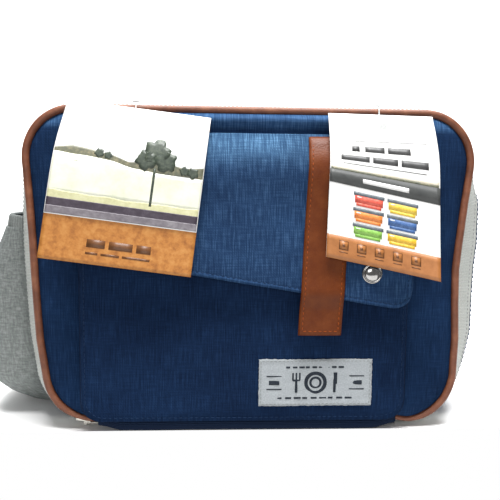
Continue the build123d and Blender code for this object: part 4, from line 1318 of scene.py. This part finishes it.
LEFT_BARS = [(0.845, 0.05, ((0.3, 0.42), (0.445, 0.6), (0.625, 0.72))),
             (0.925, 0.014, ((0.3, 0.38), (0.4, 0.52), (0.54, 0.72)))]
# the printed landscape: name, lift, shades, top edge and bottom
LANDSCAPE = [
    ("hills", 0.0, HILLS,
     [(0, 0.44), (0.12, 0.40), (0.3, 0.42), (0.5, 0.47), (0.7, 0.44), (0.85, 0.46), (1, 0.45)], 0.54),
    ("field", 0.05, FIELD, [(0, 0.47), (0.3, 0.475), (0.6, 0.53), (0.8, 0.545), (1, 0.545)], 0.81),
    ("grass", 0.1, GRASS, [(0, 0.79), (0.25, 0.80), (0.55, 0.805), (0.8, 0.80), (1, 0.805)], 0.87),
    ("road", 0.15, ROAD, [(0, 0.855), (1, 0.862)], 0.94),
    ("kerb", 0.2, KERB, [(0, 0.925), (1, 0.93)], 0.992)]
TREE_SPOTS = [(0.675, 0.36, 0.085), (0.61, 0.44, 0.065), (0.74, 0.43, 0.07), (0.87, 0.49, 0.03),
              (0.93, 0.5, 0.035), (0.3, 0.43, 0.03), (0.36, 0.44, 0.025)]


def build_left_tag():
    """Worn orange backing card with a landscape picture card in front of it."""
    tag = Tag((-65.5, 193.3), -7.0, 83.5, 90.5, (-68.0, 187.0), 0.5, 1.0, 1.5)
    tag.card("backing_card", 0.0, CARD_ORANGE, 0.6)
    for b, tall, runs in LEFT_BARS:
        for a0, a1 in runs:
            tag.patch("backing_bar", PRINT_LIFT, CARD_MARK, a0, a1, b, b + tall)
    piece(join("backing_card", tag.parts), "left_tag", "tag_backing", "hang_tag_backing_card")

    tag.tall = PICTURE_LENGTH
    tag.card("picture_card", 0.62, SKY, 0.35)
    lift = 0.62 + 0.2
    for name, up, material, tops, bottom in LANDSCAPE:
        tag.band(f"picture_{name}", lift + up, material, tops, bottom)
    tag.patch("picture_trunk", lift + 0.12, TREES, 0.667, 0.683, 0.5, 0.83)
    for spot in TREE_SPOTS:
        tag.blob("picture_tree", lift + 0.16, TREES, *spot)
    piece(join("picture_card", tag.parts), "left_tag", "tag_picture", "hang_tag_picture_card")


# what is printed on the information card: shades, left, right, top, bottom and lift
INFO_TEXT = [(0.222, ((0.2, 0.27), (0.32, 0.5), (0.53, 0.74))),
             (0.29, ((0.1, 0.36), (0.39, 0.62), (0.65, 0.9)))]
INFO_AREAS = [
    (INK, 0.12, 0.88, 0.35, 0.354, 0.0), (DAWN, 0.01, 0.99, 0.365, 0.41, 0.0),
    (HILLS, 0.01, 0.99, 0.397, 0.412, 0.05),
    (CARD_GREY, 0.0, 1.0, 0.41, 0.505, 0.1), (CARD_WHITE, 0.3, 0.72, 0.444, 0.472, 0.16),
    (CARD_BROWN, 0.0, 1.0, 0.845, 1.0, 0.0)]
SIGN = [(CARD_MARK, 0.0, 0.085, 0.872, 0.932, 0.05), (CARD_BROWN, 0.008, 0.077, 0.878, 0.926, 0.1),
        (CARD_MARK, 0.03, 0.055, 0.893, 0.911, 0.15), (CARD_MARK, 0.005, 0.08, 0.945, 0.951, 0.05)]
STACKS = [(0.235, ("red", "orange", "green")), (0.54, ("yellow", "blue", "gold"))]


def build_right_tag():
    """White information card: plain bars, two stacks of lidded containers and a brown foot."""
    tag = Tag((75.8, 192.2), -1.2, 62.0, 87.6, (76.0, 185.0), 12.0, 0.2, 11.0)
    tag.card("info_card", 0.0, CARD_WHITE, 0.6)

    def add(material, a0, a1, b0, b1, up=0.0):
        tag.patch("info_print", PRINT_LIFT + up, material, a0, a1, b0, b1)

    add(INK, 0.12, 0.9, 0.186, 0.19)
    for b, runs in INFO_TEXT:
        for a0, a1 in runs:
            add(INK, a0, a1, b, b + 0.038)
    for area in INFO_AREAS:
        add(*area)
    for k in range(5):
        start = 0.11 + 0.16 * k
        for material, a0, a1, b0, b1, up in SIGN:
            add(material, start + a0, start + a1, b0, b1, up)
    for a0, colours in STACKS:
        for k, colour in enumerate(colours):
            top = 0.535 + 0.102 * k
            add(LID, a0 - 0.012, a0 + 0.266, top, top + 0.022, 0.12)
            add(FOODS[colour], a0, a0 + 0.254, top + 0.02, top + 0.07, 0.08)
            add(FOODS[colour], a0 + 0.014, a0 + 0.24, top + 0.07, top + 0.09, 0.08)
            add(CARD_WHITE, a0 + 0.018, a0 + 0.06, top + 0.03, top + 0.036, 0.14)
    piece(join("info_card", tag.parts), "right_tag", "tag_info", "hang_tag_info_card")


# ---------------------------------------------------------------- side pocket
SIDE_POCKET_FRONT, SIDE_POCKET_BACK = -45.9, 44.0
# height, how far the side pocket stands out there, and how much shorter it is at each end
POCKET_LEVELS = np.array([(3.0, 148.0, 8.0), (9.0, 158.0, 3.0), (24.0, 168.5, 0.0), (95.0, 167.5, 0.0),
                          (121.0, 157.5, 3.0), (128.0, 155.9, 3.6)])


def shell_side(y, heights):
    """How far left the shell stands at depth y, at several heights."""
    points, _ = shell_surface(y)
    points = points[points[:, 0] < -60]
    side = points[np.argsort(points[:, 1])]
    side = side[(side[:, 1] > 3) & (side[:, 1] < 190)]
    return -np.interp(heights, side[:, 1], side[:, 0])


def side_pocket_loop(z, count=80, slimmer=0.0):
    """Line of the pocket's wall from its front seam, round the bottle space, to its back seam."""
    zs, reaches, shorters = POCKET_LEVELS.T
    reach, shorter = np.interp(z, zs, reaches) - slimmer, np.interp(z, zs, shorters)
    front = SIDE_POCKET_FRONT + 0.4 * shorter + 22.0 * (1 - smoothstep(z, 2.0, 30.0))
    back = SIDE_POCKET_BACK - shorter
    t = np.linspace(0, 1, count)
    seam = shell_side(front, z) * (1 - t) + shell_side(back, z) * t + 0.9
    middle = (front + back) / 2
    half = (back - front) / 2
    angle = math.pi * t
    swell = np.sin(angle) ** 0.42
    y = middle - half * np.sign(np.cos(angle)) * np.abs(np.cos(angle)) ** 0.62
    x = seam + (reach - seam) * swell
    return x, y, t


def pocket_folds(t, z):
    """Vertical gathers of the pocket's cloth, gone at its seams."""
    slack = np.sin(math.pi * t) ** 0.5
    first = 1.0 * np.sin(t * 31 + 0.9 * np.sin(z / 26.0))
    second = 0.6 * np.sin(t * 53 + 1.3 + 0.8 * np.sin(z / 17.0 + 1.0))
    grow = 0.35 + 0.65 * smoothstep(z, 40, 112)
    return slack * (grow * (first + second) * 0.55 + 0.5 * waves(t * 120, z, 111, 36))


def build_side_pocket():
    """Heather bottle pocket, gathered into ribbed elastic at its mouth."""
    zs = np.r_[np.linspace(4.2, 14, 8), np.linspace(17, 110, 40), np.linspace(112, 122.5, 8)]
    grid = np.zeros((80, len(zs), 3))
    for j, z in enumerate(zs):
        x, y, t = side_pocket_loop(z)
        fold = pocket_folds(t, z) * (0.4 if z < 12 else 1.0)
        pull = 1.2 * smoothstep(z, 100, 121) * np.sin(math.pi * t)
        sag = 1.0 * math.exp(-((z - 16) / 9.0) ** 2) * np.sin(math.pi * t)
        grid[:, j, 0] = -(x + fold - pull + sag - 0.6)
        grid[:, j, 1] = y
        grid[:, j, 2] = z - 1.2 * np.sin(math.pi * t) * smoothstep(z, 6, 12) * (1 - smoothstep(z, 20, 40))
    t = np.linspace(0, 1, 80)
    floor_rows = 7
    floor = np.zeros((80, floor_rows, 3))
    first = grid[:, 0]
    x_in = -shell_side(0.0, 4.0) + 1.0
    for k in range(floor_rows):
        s = k / floor_rows
        floor[:, k, 0] = x_in + (first[:, 0] - x_in) * s
        floor[:, k, 1] = 1.0 + (first[:, 1] - 1.0) * (0.75 + 0.25 * s)
        floor[:, k, 2] = 2.6 + 1.2 * s**3
    grid = np.concatenate([floor, grid], 1)
    uv = uv_grid(along(grid[:, 20]), np.r_[np.arange(floor_rows) * 3.0, 21 + zs])
    wall = cloth("side_pocket_cloth", grid, uv, GREY, 1.1, round_u=1, round_v=1)
    piece(wall, "shell", "heather_knit", "side_pocket")

    zs = np.array([120.6, 121.4, 123.0, 125.0, 127.0, 128.3, 128.7, 128.2, 127.0, 125.0])
    inner = np.array([0, 0, 0, 0, 0, 0, 0.6, 1.4, 1.6, 1.6])
    grid = np.zeros((160, len(zs), 3))
    for j, z in enumerate(zs):
        x, y, t = side_pocket_loop(min(z, 127.9), 160, 2.0)
        gather = 0.42 * np.sin(t * 190) * np.sin(math.pi * t) ** 0.4
        roll = 0.5 if z in (123.0, 125.0, 127.0) else 0.1
        swell = np.sin(math.pi * t) ** 0.5
        grid[:, j, 0] = -(x + gather - 1.4 + (roll - inner[j]) * swell)
        grid[:, j, 1] = y + inner[j] * np.cos(math.pi * t)
        grid[:, j, 2] = z + (1.6 * smoothstep(z, 121, 126) + 0.5 * np.sin(t * 9)) * swell
    uv = uv_grid(along(grid[:, 3]), zs)
    band = cloth("side_pocket_elastic_band", grid, uv, ELASTIC, 0.9, round_u=1, round_v=1)
    piece(band, "shell", "elastic", "side_pocket_elastic")
    for name, end, inward in (("front", 0, 1), ("back", -1, -1)):
        line = []
        for z in np.linspace(8, 120, 60):
            x, y, _ = side_pocket_loop(z)
            line.append((-(x[end] + 1.0), y[end] + 0.9 * inward, z))
        out = every((-1.0, -0.5 * inward, 0), line)
        seam = stitches(f"side_pocket_stitching_{name}", line, out, GREY_THREAD, 3.0, 2.0, 0.25)
        piece(seam, "shell", "heather_knit")


# ---------------------------------------------------------------- metal parts kept from the CAD model
def dress(node, material, bevel=0.0):
    """Give a carried-over CAD node its material and a small bevel on its sharp edges."""
    obj = bpy.data.objects[node]
    obj.data.materials.clear()
    obj.data.materials.append(material)
    if bevel:
        mod = obj.modifiers.new("edges", "BEVEL")
        mod.width = bevel * MM
        mod.segments = 2
        mod.limit_method = "ANGLE"
        mod.angle_limit = math.radians(40)
        mod.harden_normals = True
    return obj


def dress_cad():
    for node in ("zip_stop_start", "zip_stop_end"):
        dress(node, ZINC, 0.12)
    for node in ("zip_slider", "zip_pull"):
        dress(node, ZINC, 0.16)
    for side in ("left", "right"):
        dress(f"handle_ring_{side}", CHROME)
        for node in ("snap_stud", "snap_socket"):
            dress(f"{node}_{side}", CHROME, 0.08)
        dress(f"snap_backing_{side}", BLACK, 0.1)
        dress(f"tag_fastener_{side}", NYLON, 0.06)


# ---------------------------------------------------------------- carry handle
HANDLE_R = 4.7


def build_handle():
    """Webbing roll with a stitched leather grip, folded webbing tabs on wire rings."""
    axis_y, axis_z = 74.4, 188.0
    low_z, top_z, y_mid = 126.0, 170.0, 78.5
    half, bend = 55.0, 22.0
    path = np.concatenate([[(-half, top_z)], arc((bend - half, low_z + bend), bend, 180, 270, 16),
                           np.linspace((-31, low_z), (31, low_z), 24),
                           arc((half - bend, low_z + bend), bend, 270, 360, 16), [(half, top_z)]])
    fine = np.linspace(0, along(path)[-1], 140)
    path = between(path, along(path), fine)
    out = at_y(unit_steps(path)[:, ::-1] * [1, -1], 0.0)
    back = every(BACK, out)
    line = at_y(path, y_mid)
    out = out * ((HANDLE_R + 0.1 * np.sin(fine / 3.1)) / HANDLE_R)[:, None]
    roll = tube("handle_webbing_roll", line, out, back, HANDLE_R, 4.4, WEBBING, sides=20, seam=0.1)
    parts = [roll]
    for side in (-1, 1):
        tab = np.concatenate([
            [(y_mid + 1.6, top_z - 6.0), (y_mid + 1.5, top_z), (axis_y + 2.9, axis_z - 13.5)],
            arc((axis_y, axis_z - 12.0), 2.6, 0, 180, 14),
            [(axis_y - 2.7, axis_z - 13.5), (y_mid - 4.6, top_z), (y_mid - 3.6, top_z - 6.0)]])
        grid, uv = extrude(side * half + np.linspace(-7.0, 7.0, 9), tab)
        parts.append(cloth("handle_tab", grid, uv, WEBBING, 1.1, round_u=1))
    piece(join("handle_webbing", parts), "handle", "webbing", "handle_roll")

    low, high = span("handle_grip")
    half = (high[0] - low[0]) / 2
    xs = np.linspace(-half + 0.6, half - 0.6, 40)
    wrap = np.stack([xs, 0 * xs + y_mid, 0 * xs + low_z], 1)
    up = every(UP, xs)
    behind = every(BACK, xs)
    grip = tube("handle_leather_grip", wrap, up, behind, 6.3, 6.0, LEATHER, sides=28, seam=0.12)
    seam = stitches("grip_stitching", wrap[1:-1] + [0, 0.0, 5.9], up[1:-1], ORANGE_THREAD, 3.2, 2.2, 0.35)
    piece(join("handle_grip_leather", [grip, seam]), "handle", "leather", "handle_grip")

    for name, side in (("left", -1), ("right", 1)):
        low, high = span(f"handle_chape_{name}")
        x_mid = (low[0] + high[0]) / 2
        half = (high[0] - low[0]) / 2 - 0.3
        strip = np.concatenate([
            [(SHELL_BACK + 1.8, low[2] + 0.6), (SHELL_BACK + 1.9, low[2] + 8), (axis_y - 2.4, axis_z - 5)],
            arc((axis_y, axis_z), 2.3, 190, -70, 22),
            [(axis_y - 0.6, axis_z - 5.5), (SHELL_BACK + 3.2, axis_z - 9), (SHELL_BACK + 3.1, low[2] + 2)]])
        grid, uv = extrude(x_mid + np.linspace(-half, half, 10), strip)
        tab = cloth(f"handle_chape_{name}_webbing", grid, uv, WEBBING, 1.0, round_u=1)
        corners = [(-0.75, 2), (0.75, 2), (0.75, 11), (-0.75, 11), (-0.75, 2)]
        box = np.concatenate([np.linspace(a, b, 8) for a, b in zip(corners, corners[1:])])
        line = at_y([x_mid, low[2]] + box * [half, 1], SHELL_BACK + 3.75)
        sewn = stitches("chape_stitching", line, every(BACK, line), NAVY_THREAD, 2.6, 1.8, 0.25)
        piece(join(f"handle_chape_{name}_tab", [tab, sewn]), "shell", "webbing", f"handle_chape_{name}")


# ---------------------------------------------------------------- build
for build in (build_gusset, build_base, build_back, build_lining, build_zip, build_panel, build_hinge,
              build_pocket, build_label, build_flap, build_strap, build_snaps, build_left_tag,
              build_right_tag, build_side_pocket, build_handle, dress_cad):
    build()


# ---------------------------------------------------------------- floor, light and camera
def aim(obj, place, target, roll=0.0):
    """Put an object at a place in millimetres and point its -Z axis at a target."""
    obj.location = Vector(place) * MM
    turn = (Vector(target) - Vector(place)).to_track_quat("-Z", "Y").to_matrix()
    obj.rotation_euler = (turn @ Matrix.Rotation(roll, 3, "Z")).to_euler()


def area_light(name, place, target, size, watts):
    """A rectangular lamp; its place, target and size are in millimetres."""
    light = bpy.data.lights.new(name, "AREA")
    light.shape = "RECTANGLE"
    light.size, light.size_y = size[0] * MM, size[1] * MM
    light.energy = watts
    aim(link(bpy.data.objects.new(name, light)), place, target)


TABLE_EDGE_Y = -72.0
# how far the table lies below the bag, half its width, and the wall's place, bend and height
TABLE_DROP, TABLE_HALF = 0.2, 1500
WALL_Y, WALL_BEND, WALL_TOP = 1230, 400, 1300


def build_stage():
    """White table top that sweeps up into a wall behind the bag. Its front edge is under the bag's hinge, so
    the open panel hangs clear of it."""
    table = Material("white_table", roughness=0.9, Specular_IOR_Level=0.1)
    paper = table.noise(table.place(), 0.01, 2.0)
    table.finish(table.ramp(paper, [(0.0, (250, 250, 250)), (1.0, (254, 254, 254))]))
    bend = arc((WALL_Y - WALL_BEND, WALL_BEND), WALL_BEND, -90, 0, 16)
    sweep = np.concatenate([[(TABLE_EDGE_Y, 0)], bend, [(WALL_Y, WALL_TOP)]]) - [0, TABLE_DROP]
    verts = [(x, y, z) for y, z in sweep for x in (TABLE_HALF, -TABLE_HALF)]
    make_mesh("table", verts, grid_faces(len(sweep), 2), np.zeros((len(verts), 2)), table.material)


LIGHTS = [("overhead", (60, -330, 1100), (0, -40, 120), (640, 320), 22.0),
          ("front", (-200, -1400, 500), (0, -60, 110), (700, 500), 4.4),
          ("bounce", (0, -380, -180), (0, -60, 110), (900, 400), 1.8),
          ("back", (0, 900, 700), (0, 0, 110), (900, 500), 5.0),
          ("backdrop", (0, 420, 1300), (0, 900, 100), (1200, 600), 34.0)]
AMBIENT = 0.22


def build_lights():
    """Soft studio lamps, a dim ambient light and a white backdrop that only the camera sees."""
    for light in LIGHTS:
        area_light(*light)
    world = bpy.data.worlds.new("studio")
    bpy.context.scene.world = world
    world.use_nodes = True
    tree = world.node_tree
    ambient = tree.nodes["Background"]
    ambient.inputs["Color"].default_value = (1, 1, 1, 1)
    ambient.inputs["Strength"].default_value = AMBIENT
    backdrop = tree.nodes.new("ShaderNodeBackground")
    backdrop.inputs["Color"].default_value = (1, 1, 1, 1)
    ray = tree.nodes.new("ShaderNodeLightPath")
    mix = tree.nodes.new("ShaderNodeMixShader")
    tree.links.new(ray.outputs["Is Camera Ray"], mix.inputs[0])
    tree.links.new(ambient.outputs[0], mix.inputs[1])
    tree.links.new(backdrop.outputs[0], mix.inputs[2])
    tree.links.new(mix.outputs[0], tree.nodes["World Output"].inputs["Surface"])


# fitted view, in millimetres and degrees
LENS, CAMERA_PLACE, CAMERA_TARGET, CAMERA_ROLL = 49.7, (-23.98, -484.01, 154.85), (0.02, -67.0, 110.95), 0.66


def build_camera():
    camera = bpy.data.cameras.new("camera")
    camera.sensor_width = 36.0
    camera.lens = LENS
    camera.clip_start = 0.01
    obj = link(bpy.data.objects.new("camera", camera))
    aim(obj, CAMERA_PLACE, CAMERA_TARGET, math.radians(CAMERA_ROLL))
    bpy.context.scene.camera = obj


for build in (build_stage, build_lights, build_camera):
    build()
bpy.context.scene.view_settings.view_transform = "Standard"
